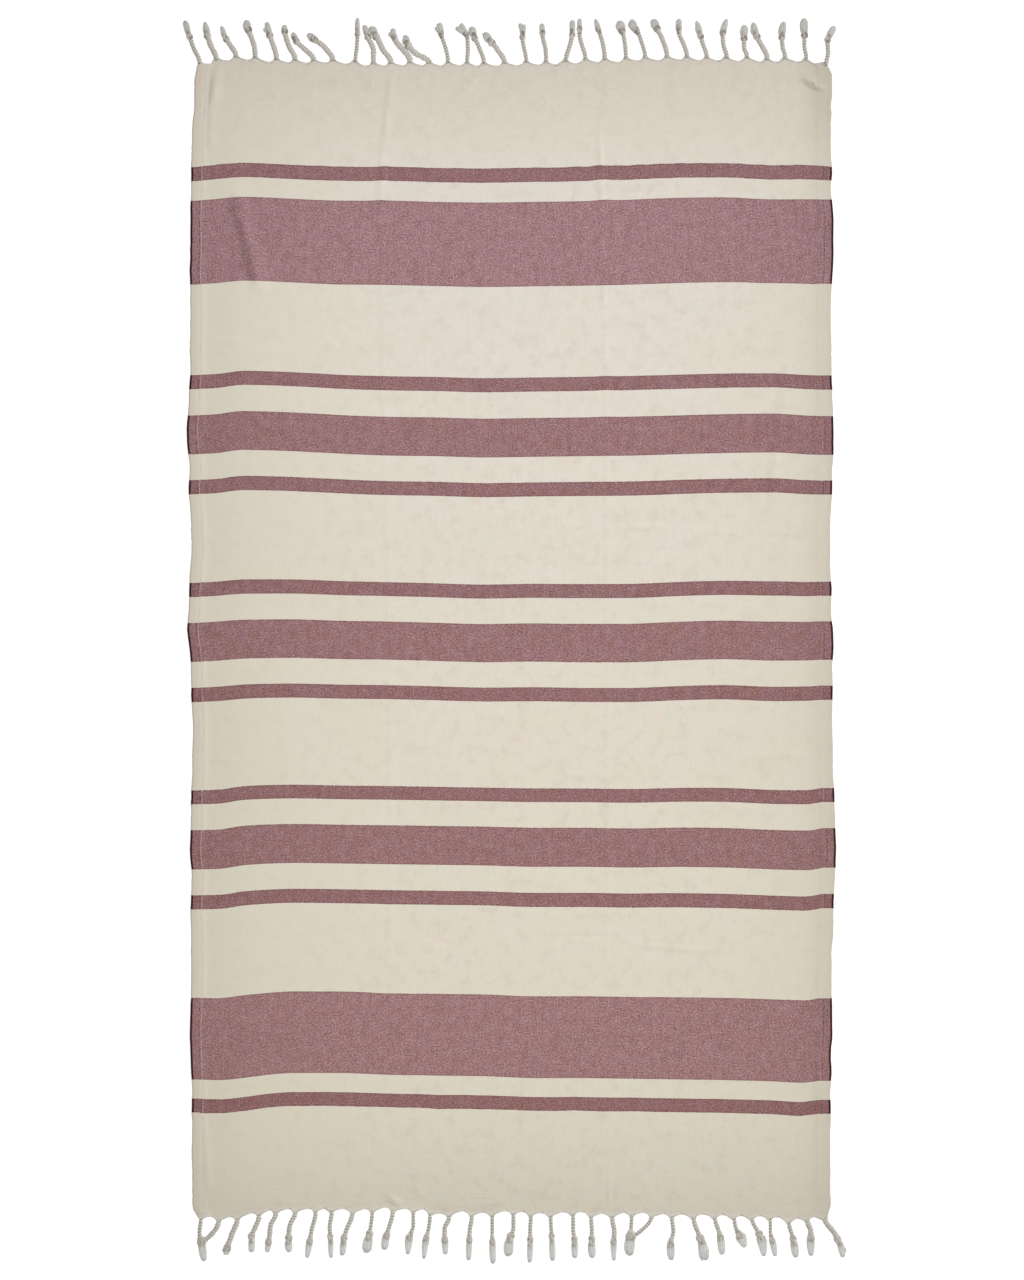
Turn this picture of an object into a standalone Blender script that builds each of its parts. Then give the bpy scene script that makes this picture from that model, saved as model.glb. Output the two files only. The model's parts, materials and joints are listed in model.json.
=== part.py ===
"""Hammam towel laid out flat: a woven cloth with turned side hems and a knotted fringe at each end.

Tables and sizes are in millimetres. Places on the towel are given as (across, down): across
from the straight line of its left side, down from the straight line of its top end. The towel
lies on z = 0 with X across it and Y along it, +Y towards the top end, and the origin is the
middle of its whole footprint, fringes included.
"""

import math
from collections import namedtuple

import bmesh
import bpy
import numpy as np
from mathutils import Vector

MM = 0.001

# Cloth
WIDTH = 1000.0
LENGTH = 1790.0
THICKNESS = 1.5          # one layer of the weave
HEM_THICKNESS = 3.0      # two layers, where a side is turned under
HEM_WIDTH = 17.0
LONGEST_STEP = 50.0      # the longest face of the cloth, across or down
CLOSEST_STEP = 8.0       # no station is added nearer than this to one of the end table's
CORNER = 14.0            # the last stretch of each side, where the corner is drawn in

# The last wefts at each end, parted from the cloth, from which the fringe grows
STRIP_DEPTH = 6.0
PARTING = 0.3

# Fringe cords
CORD_WIDTH = 6.0
CORD_HEIGHT = 5.5
KNOT_WIDTH = 11.5
KNOT_HEIGHT = 9.0
KNOT_AT = 0.62           # place of the knot's middle, as a share of the reach
WIDEST_ROOT = 24.0       # a bundle of warp ends where it leaves the cloth
ROOT_GAP = 2.4           # half of the bare edge left between two bundles
STRAIGHT_ROOT = 0.08     # share of the reach that runs straight out of the cloth

# How far each side stands out from its straight line: the coloured stripes bulge a little
Side = namedtuple("Side", "down left right")
SIDES = (
    Side(0, -12, -7), Side(14, -8, -2), Side(40, -6, -1), Side(115, -3, -4), Side(190, 0, -2),
    Side(245, 1, 3), Side(340, 1, 1), Side(395, 1, -2), Side(490, 3, 0),
    Side(575, 6, 2), Side(640, 3, 0), Side(730, 0, -3), Side(825, 3, -1),
    Side(890, 4, 2), Side(975, 0, 1), Side(1070, -4, 0), Side(1145, 0, 2),
    Side(1220, 1, 6), Side(1295, 1, 3), Side(1385, 0, 0), Side(1500, 2, 0),
    Side(1575, 1, -1), Side(1630, -3, -4), Side(1776, -4, -3), Side(1790, -13, -6),
)

# How far each end stands out from its straight line
End = namedtuple("End", "across top bottom")
ENDS = (
    End(0, -3, 5), End(28, 2, 6), End(75, 8, 4), End(115, 7, -2), End(155, 6, -4),
    End(240, 3, -6), End(300, 1, -7), End(350, 2, -4), End(390, 1, 0), End(480, -1, 0),
    End(545, 0, 2), End(625, 5, 3), End(690, 8, 4), End(765, 9, 5), End(825, 9, 6),
    End(910, 8, 7), End(955, 7, 8), End(980, 2, 8), End(1000, -2, 6),
)

# Woven stripes, which the faces of the cloth follow
Stripe = namedtuple("Stripe", "down width")
STRIPES = (
    Stripe(157, 22), Stripe(211, 131), Stripe(483, 22), Stripe(546, 61), Stripe(647, 22),
    Stripe(806, 22), Stripe(868, 60), Stripe(968, 22), Stripe(1126, 22), Stripe(1187, 61),
    Stripe(1289, 22), Stripe(1450, 127), Stripe(1607, 22),
)

# Fold marks left by storage: low rounded ridges that stand off the floor along a path
Fold = namedtuple("Fold", "height half_width path")
LENGTHWISE_FOLDS = (
    Fold(4.0, 18, ((306, 40), (308, 460), (316, 900), (319, 1300))),
    Fold(4.0, 18, ((649, 25), (650, 700), (656, 900), (657, 1460))),
)
CROSS_FOLDS = (
    Fold(2.5, 20, ((545, 441), (654, 462), (724, 477))),
    Fold(2.5, 20, ((654, 726), (942, 734))),
    Fold(2.5, 20, ((670, 910), (958, 914))),
    Fold(2.5, 20, ((561, 1084), (763, 1107))),
    Fold(2.5, 20, ((561, 1357), (662, 1368), (841, 1383))),
)
SLANTED_FOLDS = (
    Fold(3.0, 26, ((60, 205), (112, 344), (117, 410))),
    Fold(3.0, 26, ((919, 470), (903, 645))),
)
FOLD_RUN_OUT = 45.0      # a fold sinks to the floor over this length at each end

# The cords of one fringe, left to right: where each is rooted, how far across it has drifted at
# a third of its reach, at its knot and at its tip, its reach, and its tuft's width. A cord with
# no tuft of its own runs up to the knot of the cord on its left.
Cord = namedtuple("Cord", "root third knot tip reach tuft")
TOP_CORDS = (
    Cord(20, -10, -16, -26, 69, 10), Cord(41, -7, -13, -18, 63, 12), Cord(72, -7, -16, -23, 50, 10),
    Cord(101, -2, -7, -13, 59, 14), Cord(135, -5, -10, -16, 57, 12), Cord(163, -8, -13, -17, 52, 10),
    Cord(193, -12, -24, -33, 42, 10), Cord(222, -9, -20, -37, 38, 12), Cord(258, 1, 2, 3, 67, 9),
    Cord(285, 0, -7, -15, 56, 10), Cord(313, -11, -19, -28, 53, 12), Cord(343, -9, -22, -28, 51, 10),
    Cord(373, -20, -31, -37, 41, 12), Cord(402, -4, -9, -15, 61, 12), Cord(432, 0, -1, -9, 62, 9),
    Cord(458, -7, -13, -18, 57, 9), Cord(490, -10, -16, -29, 46, 12), Cord(524, -4, -6, -7, 62, 11),
    Cord(555, -2, -5, -7, 63, 9), Cord(586, 4, 8, 10, 66, 9), Cord(616, -6, -9, -9, 65, 8),
    Cord(646, -2, -7, -14, 64, 9), Cord(679, -1, -3, -10, 61, 14), Cord(710, -5, -9, -22, 60, 12),
    Cord(742, -4, -10, -20, 58, 10), Cord(774, -6, -13, -13, 60, 9), Cord(805, -5, -10, -16, 57, 11),
    Cord(836, -5, -7, -2, 63, 11), Cord(868, -4, -5, -4, 54, 12), Cord(898, -6, -14, -21, 59, 11),
    Cord(927, -4, -4, -1, 60, 12), Cord(960, -3, -3, -3, 66, 12), Cord(985, 11, 7, 18, 62, 11),
)
BOTTOM_CORDS = (
    Cord(20, -4, -2, 1, 72, 12), Cord(45, -2, -8, -15, 34, 0), Cord(74, -6, -12, -19, 57, 12),
    Cord(108, -6, -12, -12, 61, 11), Cord(134, -8, -11, -14, 62, 9), Cord(164, -9, -11, -11, 64, 11),
    Cord(196, -5, -9, -14, 73, 10), Cord(221, -3, -2, -2, 75, 9), Cord(253, -8, -13, -17, 69, 9),
    Cord(284, -2, -6, -8, 64, 13), Cord(316, -5, -10, -14, 60, 12), Cord(348, -1, -5, -9, 69, 10),
    Cord(374, -3, -7, -10, 74, 9), Cord(405, -7, -7, -6, 62, 10), Cord(439, -3, -4, -5, 75, 9),
    Cord(471, 0, -1, -1, 77, 10), Cord(503, -1, -7, -9, 67, 12), Cord(531, -2, -2, -2, 76, 9),
    Cord(562, 1, 2, 3, 71, 9), Cord(597, 0, 2, 2, 70, 9), Cord(625, 1, 1, 1, 68, 11),
    Cord(658, 3, 2, 2, 72, 8), Cord(688, -1, -1, -4, 64, 16), Cord(719, -5, -16, -21, 34, 0),
    Cord(751, 2, -2, -2, 70, 11), Cord(785, 5, 11, 14, 69, 14), Cord(818, 5, 9, 11, 60, 10),
    Cord(848, 2, 6, 17, 48, 13), Cord(876, 7, 14, 18, 62, 11), Cord(904, 0, 3, 8, 63, 9),
    Cord(933, 4, 7, 10, 60, 10), Cord(962, 4, 5, 5, 60, 11), Cord(984, 19, 27, 34, 63, 10),
)

CORDS = {"top": TOP_CORDS, "bottom": BOTTOM_CORDS}

# Base colours, linear
CREAM = (0.72, 0.66, 0.56, 1.0)
MAUVE = (0.33, 0.17, 0.18, 1.0)
FRINGE_CREAM = (0.62, 0.57, 0.49, 1.0)


def column(rows, name):
    """One named column of a table, as an array."""
    return np.array([getattr(row, name) for row in rows], dtype=float)


def smooth(at, stations, values):
    """Smooth curve through the given values that swings no further than they do."""
    stations, values = np.asarray(stations, float), np.asarray(values, float)
    chords = np.diff(values) / np.diff(stations)
    before, after = chords[:-1], chords[1:]
    same_way = before * after > 0
    inner = np.where(same_way, 2 * before * after / np.where(same_way, before + after, 1), 0)
    slopes = np.concatenate(([chords[0]], inner, [chords[-1]]))
    low = int(np.clip(np.searchsorted(stations, at) - 1, 0, len(stations) - 2))
    step = stations[low + 1] - stations[low]
    u = min(max((at - stations[low]) / step, 0.0), 1.0)
    ease = u * u * (3 - 2 * u)
    start = values[low] + slopes[low] * step * u * (1 - u)
    end = values[low + 1] - slopes[low + 1] * step * u * (1 - u)
    return start * (1 - ease) + end * ease


def side_lines(down):
    """The across place of the left and right side at one distance down the towel."""
    downs = column(SIDES, "down")
    left = -smooth(down, downs, column(SIDES, "left"))
    right = WIDTH + smooth(down, downs, column(SIDES, "right"))
    return left, right


def end_line(across, end):
    """How far out the woven edge stands at one end, "top" or "bottom": straight between rows."""
    left, right = side_lines(0 if end == "top" else LENGTH)
    places = left + (right - left) * column(ENDS, "across") / WIDTH
    return float(np.interp(across, places, column(ENDS, end)))


def root_spans(end):
    """The stretch of woven edge that each cord's bundle of warp ends takes, as (low, high)."""
    cords = CORDS[end]
    left, right = side_lines(0 if end == "top" else LENGTH)
    between = [(one.root + two.root) / 2 for one, two in zip(cords, cords[1:])]
    spans = []
    for cord, low, high in zip(cords, [left] + between, between + [right]):
        low = max(low + ROOT_GAP, cord.root - WIDEST_ROOT / 2)
        high = min(high - ROOT_GAP, cord.root + WIDEST_ROOT / 2)
        spans.append((low, high))
    return spans


def strip_places(end):
    """Stations across one strip: its ends, its cords' spans, and the edge's bends between them."""
    left, right = side_lines(0 if end == "top" else LENGTH)
    spans = root_spans(end)
    bends = left + (right - left) * column(ENDS, "across") / WIDTH
    clear = [bend for bend in bends if not any(low - 1 < bend < high + 1 for low, high in spans)]
    return sorted(set([left, right] + [place for span in spans for place in span] + clear))


def cloth_end(across, end):
    """How far out the cloth reaches at one end: a parting short of the strip, which is straight
    from station to station and so cuts across a bend that lies at a cord's root."""
    places = strip_places(end)
    strip = np.interp(across, places, [end_line(place, end) for place in places])
    return min(strip, end_line(across, end)) - STRIP_DEPTH - PARTING


def along_path(across, down, path):
    """Distance from a point to a path, and the places along it of the point and of its end."""
    nearest, place, walked = math.inf, 0.0, 0.0
    for (x0, y0), (x1, y1) in zip(path, path[1:]):
        length = math.hypot(x1 - x0, y1 - y0)
        share = ((across - x0) * (x1 - x0) + (down - y0) * (y1 - y0)) / length ** 2
        share = min(max(share, 0.0), 1.0)
        gap = math.hypot(across - x0 - share * (x1 - x0), down - y0 - share * (y1 - y0))
        if gap < nearest:
            nearest, place = gap, walked + share * length
        walked += length
    return nearest, place, walked


def lift(across, down):
    """Height of the cloth's underside above the floor: nothing, but for the folds."""
    height = 0.0
    for fold in LENGTHWISE_FOLDS + CROSS_FOLDS + SLANTED_FOLDS:
        gap, place, end = along_path(across, down, fold.path)
        if gap < fold.half_width:
            crest = math.cos(math.pi / 2 * gap / fold.half_width) ** 2
            run_out = min(1.0, place / FOLD_RUN_OUT, (end - place) / FOLD_RUN_OUT)
            height = max(height, fold.height * crest * run_out)
    return height


def filled(fixed):
    """The fixed stations in order, with even ones between those that lie too far apart."""
    fixed = sorted(set(fixed))
    stations = []
    for low, high in zip(fixed, fixed[1:]):
        steps = math.ceil((high - low) / LONGEST_STEP)
        stations += [low + (high - low) * step / steps for step in range(steps)]
    return stations + [fixed[-1]]


def cloth_columns():
    """Stations across: the rows of the end table, the hems and the lengthwise folds."""
    knuckles = [end.across for end in ENDS]
    places = [HEM_WIDTH, WIDTH - HEM_WIDTH]
    for fold in LENGTHWISE_FOLDS:
        middle = sum(across for across, _ in fold.path) / len(fold.path)
        places += [middle - fold.half_width, middle, middle + fold.half_width]
    clear = [place for place in places if min(abs(place - k) for k in knuckles) > CLOSEST_STEP]
    return filled(knuckles + clear)


def cloth_rows():
    """Stations down: the stripes' borders, and three for each fold that crosses the cloth."""
    fixed = [0.0, CORNER, LENGTH - CORNER, LENGTH]
    for stripe in STRIPES:
        fixed += [stripe.down, stripe.down + stripe.width]
    for fold in CROSS_FOLDS:
        middle = sum(down for _, down in fold.path) / len(fold.path)
        fixed += [middle - fold.half_width, middle, middle + fold.half_width]
    return filled(fixed)


def world(across, down, height=0.0):
    """A place on the towel as a point of the scene, in metres, before it is centred."""
    return Vector(((across - WIDTH / 2) * MM, (LENGTH / 2 - down) * MM, height * MM))


def new_object(name, mesh, collection, materials):
    """An object for a finished mesh, in the towel's collection."""
    obj = bpy.data.objects.new(name, mesh)
    collection.objects.link(obj)
    for material in materials:
        mesh.materials.append(material)
    return obj


def fabric(name, colour):
    """A matt woven material of one colour."""
    material = bpy.data.materials.new(name)
    material.use_nodes = True
    shader = material.node_tree.nodes["Principled BSDF"]
    shader.inputs["Base Color"].default_value = colour
    shader.inputs["Roughness"].default_value = 0.9
    shader.inputs["Metallic"].default_value = 0.0
    material.diffuse_color = colour
    return material


def in_stripe(down):
    """Whether a place down the towel lies on a coloured stripe."""
    return any(stripe.down < down < stripe.down + stripe.width for stripe in STRIPES)


def make_cloth(collection, materials):
    """The cloth: a grid laid along the towel's own outline, thickened upwards from its underside."""
    columns, rows = cloth_columns(), cloth_rows()
    mesh = bpy.data.meshes.new("towel_cloth")
    bm = bmesh.new()
    bmesh.ops.create_grid(bm, x_segments=len(columns) - 1, y_segments=len(rows) - 1, size=0.5)
    bm.verts.ensure_lookup_table()
    hem_columns = {0, 1, len(columns) - 2, len(columns) - 1}
    hem_verts = []
    for index, vert in enumerate(bm.verts):
        row, col = divmod(index, len(columns))
        down = rows[-1 - row]
        left, right = side_lines(down)
        across = left + (right - left) * columns[col] / WIDTH
        top = -cloth_end(across, "top")
        bottom = LENGTH + cloth_end(across, "bottom")
        placed = top + (bottom - top) * down / LENGTH
        vert.co = world(across, placed, lift(across, placed))
        if col in hem_columns:
            hem_verts.append(index)
    for face in bm.faces:
        middle = LENGTH / 2 - face.calc_center_median().y / MM
        face.material_index = 1 if in_stripe(middle) else 0
    bm.normal_update()
    bm.to_mesh(mesh)
    bm.free()
    cloth = new_object("towel_cloth", mesh, collection, materials)
    hem = cloth.vertex_groups.new(name="hem")
    hem.add(hem_verts, 1.0, "REPLACE")
    layers = cloth.modifiers.new("layers", "SOLIDIFY")
    layers.thickness = HEM_THICKNESS * MM
    layers.offset = 1.0
    layers.use_even_offset = False
    layers.vertex_group = hem.name
    layers.thickness_vertex_group = THICKNESS / HEM_THICKNESS
    return cloth


def cord_rings(cord):
    """The sections of one cord, root to tip, as (out, width, height): out is from the cloth."""
    rings = [(2.5, 14.0, 2.3), (5.5, 9.0, 4.0), (9.5, CORD_WIDTH, CORD_HEIGHT)]
    start = rings[-1][0]
    if not cord.tuft:
        rings += [((start + cord.reach) / 2, CORD_WIDTH, CORD_HEIGHT)]
        rings += [(cord.reach, CORD_WIDTH, CORD_HEIGHT)]
        return rings
    knot = cord.reach * KNOT_AT
    before = knot - 6.0
    for share in (0.5, 1.0):
        rings.append((start + (before - start) * share, CORD_WIDTH, CORD_HEIGHT))
    neck = knot + 5.0
    rings += [
        (knot - 2.5, KNOT_WIDTH, KNOT_HEIGHT),
        (knot + 2.5, KNOT_WIDTH, KNOT_HEIGHT),
        (neck, CORD_WIDTH + 1.0, CORD_HEIGHT + 0.5),
        (neck + (cord.reach - neck) * 0.4, cord.tuft, CORD_HEIGHT + 1.0),
        (neck + (cord.reach - neck) * 0.75, cord.tuft * 0.85, CORD_HEIGHT),
        (cord.reach, cord.tuft * 0.4, CORD_HEIGHT * 0.5),
    ]
    return rings


def cord_drift(cord, out):
    """How far across a cord has drifted at one distance out from the cloth."""
    shares = (0.0, STRAIGHT_ROOT, 0.35, KNOT_AT, 1.0)
    return smooth(out / cord.reach, shares, (0.0, 0.0, cord.third, cord.knot, cord.tip))


def section(cord, out, width, height, edge, side):
    """The four corners of a cord's section: two on the floor, then the two above them.

    edge is the woven edge's place down the towel at the root, and side is -1 at the top end,
    where out is up the towel, and 1 at the bottom end.
    """
    step = 0.5
    drift = cord_drift(cord, out)
    lean = (cord_drift(cord, out + step) - cord_drift(cord, out - step)) / (2 * step)
    turned = min(max((out - 5.0) / 8.0, 0.0), 1.0)
    angle = math.atan(lean) * turned
    half_across, half_down = math.cos(angle) * width / 2, -math.sin(angle) * width / 2
    across, down = cord.root + drift, edge + side * out
    low_side = (across - half_across, down - side * half_down)
    high_side = (across + half_across, down + side * half_down)
    return [
        world(*low_side), world(*high_side),
        world(*high_side, height), world(*low_side, height),
    ]


def grow(bm, face, corners, sections):
    """Extrude one face through a run of four-cornered sections."""
    for target in sections:
        grown = bmesh.ops.extrude_face_region(bm, geom=[face])["geom"]
        bm.faces.remove(face)
        face = next(item for item in grown if isinstance(item, bmesh.types.BMFace))
        for vert in face.verts:
            index = min(range(4), key=lambda k: (corners[k] - vert.co).length)
            vert.co = target[index]
        corners = target


def make_fringe(name, end, collection, material):
    """One fringe: the strip of last wefts, with every cord grown out of its outer edge."""
    side = -1 if end == "top" else 1
    straight = 0.0 if end == "top" else LENGTH
    places = strip_places(end)
    bm = bmesh.new()
    bmesh.ops.create_grid(bm, x_segments=len(places) - 1, y_segments=1, size=0.5)
    bm.verts.ensure_lookup_table()
    for index, vert in enumerate(bm.verts):
        row, col = divmod(index, len(places))
        out = end_line(places[col], end) - (STRIP_DEPTH if row == 0 else 0.0)
        vert.co = world(places[col], straight + side * out)
    lifted = bmesh.ops.extrude_face_region(bm, geom=bm.faces[:])["geom"]
    top_verts = [item for item in lifted if isinstance(item, bmesh.types.BMVert)]
    bmesh.ops.translate(bm, verts=top_verts, vec=(0.0, 0.0, THICKNESS * MM))
    bmesh.ops.recalc_face_normals(bm, faces=bm.faces[:])
    for cord, (low, high) in zip(CORDS[end], root_spans(end)):
        downs = [straight + side * end_line(place, end) for place in (low, high)]
        corners = [
            world(low, downs[0]), world(high, downs[1]),
            world(high, downs[1], THICKNESS), world(low, downs[0], THICKNESS),
        ]
        middle = sum(corners, Vector()) / 4
        root = min(bm.faces, key=lambda face: (face.calc_center_median() - middle).length)
        edge = sum(downs) / 2
        sections = [section(cord, *ring, edge, side) for ring in cord_rings(cord)]
        grow(bm, root, corners, sections)
    bmesh.ops.recalc_face_normals(bm, faces=bm.faces[:])
    mesh = bpy.data.meshes.new(name)
    bm.to_mesh(mesh)
    bm.free()
    return new_object(name, mesh, collection, [material])


def centre(objects):
    """Move the towel so that the middle of its footprint is at the origin."""
    corners = [vert.co for obj in objects for vert in obj.data.vertices]
    middle = Vector((
        (min(co.x for co in corners) + max(co.x for co in corners)) / 2,
        (min(co.y for co in corners) + max(co.y for co in corners)) / 2,
        0.0,
    ))
    for obj in objects:
        obj.location = -middle


def main():
    """Build the towel in an empty scene."""
    for obj in list(bpy.data.objects):
        bpy.data.objects.remove(obj)
    collection = bpy.data.collections.new("hammam towel")
    bpy.context.scene.collection.children.link(collection)
    cream, mauve = fabric("cream cotton", CREAM), fabric("mauve cotton", MAUVE)
    yarn = fabric("cream fringe yarn", FRINGE_CREAM)
    centre([
        make_cloth(collection, [cream, mauve]),
        make_fringe("fringe_top", "top", collection, yarn),
        make_fringe("fringe_bottom", "bottom", collection, yarn),
    ])


main()
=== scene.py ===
"""Hammam towel laid out flat, dressed for a picture from straight above.

The towel is one woven length with both sides turned under and sewn, and a fringe of twisted and
knotted cords along each end. Sizes and tables are in millimetres. A place on the towel is given
as (across, down): across from the straight line of its left side, down from the straight line
of its top end. TowelPlan turns such a place into a point of the scene.
"""

import json
import logging
import math
from dataclasses import dataclass, field
from enum import Enum
from typing import Any, NamedTuple, Sequence

import bpy
import numpy as np
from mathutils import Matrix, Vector, noise

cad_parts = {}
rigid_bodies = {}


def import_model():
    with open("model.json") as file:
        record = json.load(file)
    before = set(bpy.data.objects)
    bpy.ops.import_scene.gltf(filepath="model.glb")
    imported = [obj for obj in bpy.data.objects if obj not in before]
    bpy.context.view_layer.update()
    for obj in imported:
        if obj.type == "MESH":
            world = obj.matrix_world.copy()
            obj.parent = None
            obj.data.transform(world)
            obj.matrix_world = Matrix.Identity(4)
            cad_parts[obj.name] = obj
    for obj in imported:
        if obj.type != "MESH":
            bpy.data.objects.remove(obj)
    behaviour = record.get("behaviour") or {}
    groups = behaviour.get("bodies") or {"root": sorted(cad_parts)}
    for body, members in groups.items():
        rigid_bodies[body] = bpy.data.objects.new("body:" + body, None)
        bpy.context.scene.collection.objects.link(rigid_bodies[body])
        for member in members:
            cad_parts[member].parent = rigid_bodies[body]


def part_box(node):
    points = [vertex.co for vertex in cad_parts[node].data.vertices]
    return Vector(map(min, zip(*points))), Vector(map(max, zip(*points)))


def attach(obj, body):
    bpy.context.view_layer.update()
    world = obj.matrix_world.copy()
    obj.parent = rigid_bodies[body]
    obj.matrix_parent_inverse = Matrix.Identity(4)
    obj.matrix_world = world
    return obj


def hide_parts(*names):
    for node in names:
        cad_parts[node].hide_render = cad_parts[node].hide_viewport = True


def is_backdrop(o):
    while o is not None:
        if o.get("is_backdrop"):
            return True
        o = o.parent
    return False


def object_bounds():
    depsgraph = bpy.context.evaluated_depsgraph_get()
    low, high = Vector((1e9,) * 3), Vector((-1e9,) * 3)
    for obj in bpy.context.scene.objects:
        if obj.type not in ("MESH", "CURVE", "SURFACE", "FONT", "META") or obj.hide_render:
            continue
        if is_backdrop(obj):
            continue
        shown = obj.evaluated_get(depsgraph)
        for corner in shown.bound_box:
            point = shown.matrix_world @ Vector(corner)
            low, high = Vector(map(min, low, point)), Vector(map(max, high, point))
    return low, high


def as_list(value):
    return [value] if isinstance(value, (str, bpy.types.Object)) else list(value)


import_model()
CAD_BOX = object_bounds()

LOG = logging.getLogger("hammam_towel")
MM = 0.001
BODY = "root"
FULL_TURN = 2 * math.pi
UP = np.array([0.0, 0.0, 1.0])
Array = np.ndarray
Socket = bpy.types.NodeSocket
Object = bpy.types.Object
Material = bpy.types.Material


class Side(NamedTuple):
    """How far each side stands out from its straight line, at one distance down the towel."""

    down: float
    left: float
    right: float


class End(NamedTuple):
    """How far each end stands out from its straight line, at one distance across the towel."""

    across: float
    top: float
    bottom: float


class Bow(NamedTuple):
    """How far the wefts sag from straight, at one distance across, along five of them."""

    across: float
    top: float
    upper: float
    middle: float
    lower: float
    bottom: float


class Stripe(NamedTuple):
    """A woven stripe: where it starts, its width, and how much deeper its colour is."""

    down: float
    width: float
    deeper: float


class Crease(NamedTuple):
    """A soft ridge, or a trough where its height is negative: its half width on the lower or left
    side, that on the upper or right side, and its path, drawn to the right or downwards."""

    height: float
    lower_left: float
    upper_right: float
    path: tuple[tuple[float, float], ...]


class Kink(NamedTuple):
    """A place where a fold lifts the wefts out of line: where, how far, and over what reach."""

    across: float
    down: float
    rise: float
    reach: float


class Cord(NamedTuple):
    """A fringe cord: its root, its drift across at a third, at six tenths and at its tip, its
    reach, its tuft's width, how far out its knot is tied, its width where its plies lie side by
    side, and how pointed its tuft is, from 0 to 1. With no tuft it runs into the knot of the
    cord on its left."""

    root: float
    third: float
    later: float
    tip: float
    reach: float
    tuft: float
    tied: float
    wide: float
    taper: float = 0.6


class Stray(NamedTuple):
    """A lock that leaves a tuft at its knot: the cord's number, and the lock's share of the
    yarns, its sideways reach (left is negative) and its length as a share of the tuft's."""

    number: int
    share: float
    sideways: float
    length: float


class FringeEnd(Enum):
    """The two ends of the towel: the name of the fringe's node there, and which way is out."""

    TOP = ("fringe_top", -1)
    BOTTOM = ("fringe_bottom", 1)

    @property
    def node(self) -> str:
        """Name of the fringe's node at this end."""
        return self.value[0]

    @property
    def out(self) -> int:
        """Sign of the way out of the cloth, along down."""
        return self.value[1]


SIDES = tuple(Side(*row) for row in (
    (0, -12, -7), (12, -9, 0), (28, -7, 0), (43, -7, 0), (60, -7, -2), (75, -6, -1), (90, -4, -2),
    (133, -3, -2), (165, -2, 0), (196, -2, -2), (227, -1, 1), (258, -1, 2), (289, -1, 2), (320, 0, 1),
    (352, -1, -1), (383, -1, -2), (414, -1, -2), (445, 0, -1), (476, -1, -1), (507, 1, 0), (538, 2, 1),
    (570, 5, 2), (601, 3, 2), (632, 0, 0), (663, 2, 0), (694, -1, -2), (725, -2, -3), (756, -3, -3),
    (788, 0, -3), (819, 1, -1), (850, 2, -2), (881, 4, 1), (912, 0, 2), (943, -2, 0), (975, -2, 1),
    (1006, -4, 0), (1037, -5, 0), (1068, -4, 1), (1099, -4, 1), (1130, -2, 3), (1161, -2, 4),
    (1193, -1, 5), (1224, 0, 6), (1255, -3, 5), (1286, -2, 3), (1317, -1, 2), (1348, -2, 2),
    (1380, -2, -1), (1411, -2, -1), (1442, -2, -1), (1473, -1, 0), (1504, 0, 0), (1535, -1, -2),
    (1566, -2, -1), (1598, -4, -3), (1629, -3, -2), (1660, -4, -3), (1691, -3, -3), (1722, -4, -3),
    (1753, -4, -3), (1770, -4, -2), (1778, -5, -4), (1784, -9, -6), (1790, -13, -7),
))

ENDS = tuple(End(*row) for row in (
    (0, -3, 5), (28, 4, 9), (56, 9, 7), (87, 8, 2), (118, 5, -4), (150, 4, -5), (179, 3, -5),
    (208, 4, -7), (240, 2, -3), (272, -1, -5), (299, -1, -7), (328, 0, -5), (358, 0, -5), (388, -1, 3),
    (417, 0, -1), (445, -2, 1), (474, -1, 0), (507, 0, -2), (540, 1, 1), (570, 0, 2), (601, 4, -2),
    (631, 5, 3), (662, 5, 3), (694, 7, 0), (726, 8, 3), (758, 9, 3), (790, 8, 4), (820, 7, 4),
    (852, 7, 5), (883, 7, 6), (913, 4, 6), (944, 7, 12), (974, 3, 7), (988, -1, 6), (1000, -6, 6),
))

# The wefts that the columns of BOWS follow lie this far down
BOW_STATIONS = (237.0, 579.0, 908.0, 1229.0, 1552.0)

BOWS = tuple(Bow(*row) for row in (
    (9, 1, 0, 2, 5, 3), (44, -2, -2, 0, 4, 4), (84, -5, -7, -3, -2, 0), (159, -2, -5, -4, -5, -7),
    (234, 1, -1, -2, -4, -7), (308, 1, 2, -1, -3, -4), (383, 3, 3, 1, -2, -3), (458, 4, 5, 3, -1, -2),
    (533, 3, 4, 2, 1, 1), (607, 2, 3, 3, 1, 1), (682, 0, 2, 3, 2, 2), (757, -3, 0, 0, 1, 3),
    (832, -4, -2, -2, 2, 4), (907, -1, -3, 0, 5, 6), (957, -1, 0, 0, 6, 8), (981, -1, 1, -1, 2, 5),
))

STRIPES = tuple(Stripe(*row) for row in (
    (159.5, 22, 0.95), (212, 131, 0.0), (484.5, 22, 0.95), (547.5, 60.5, 0.55), (648, 22, 0.95),
    (807, 22, 0.95), (869, 60, 0.55), (969, 22, 0.95), (1127, 21.5, 0.95), (1188.5, 61, 0.55),
    (1290, 22, 0.95), (1451, 127.5, 0.05), (1608, 21.5, 1.0),
))

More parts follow.
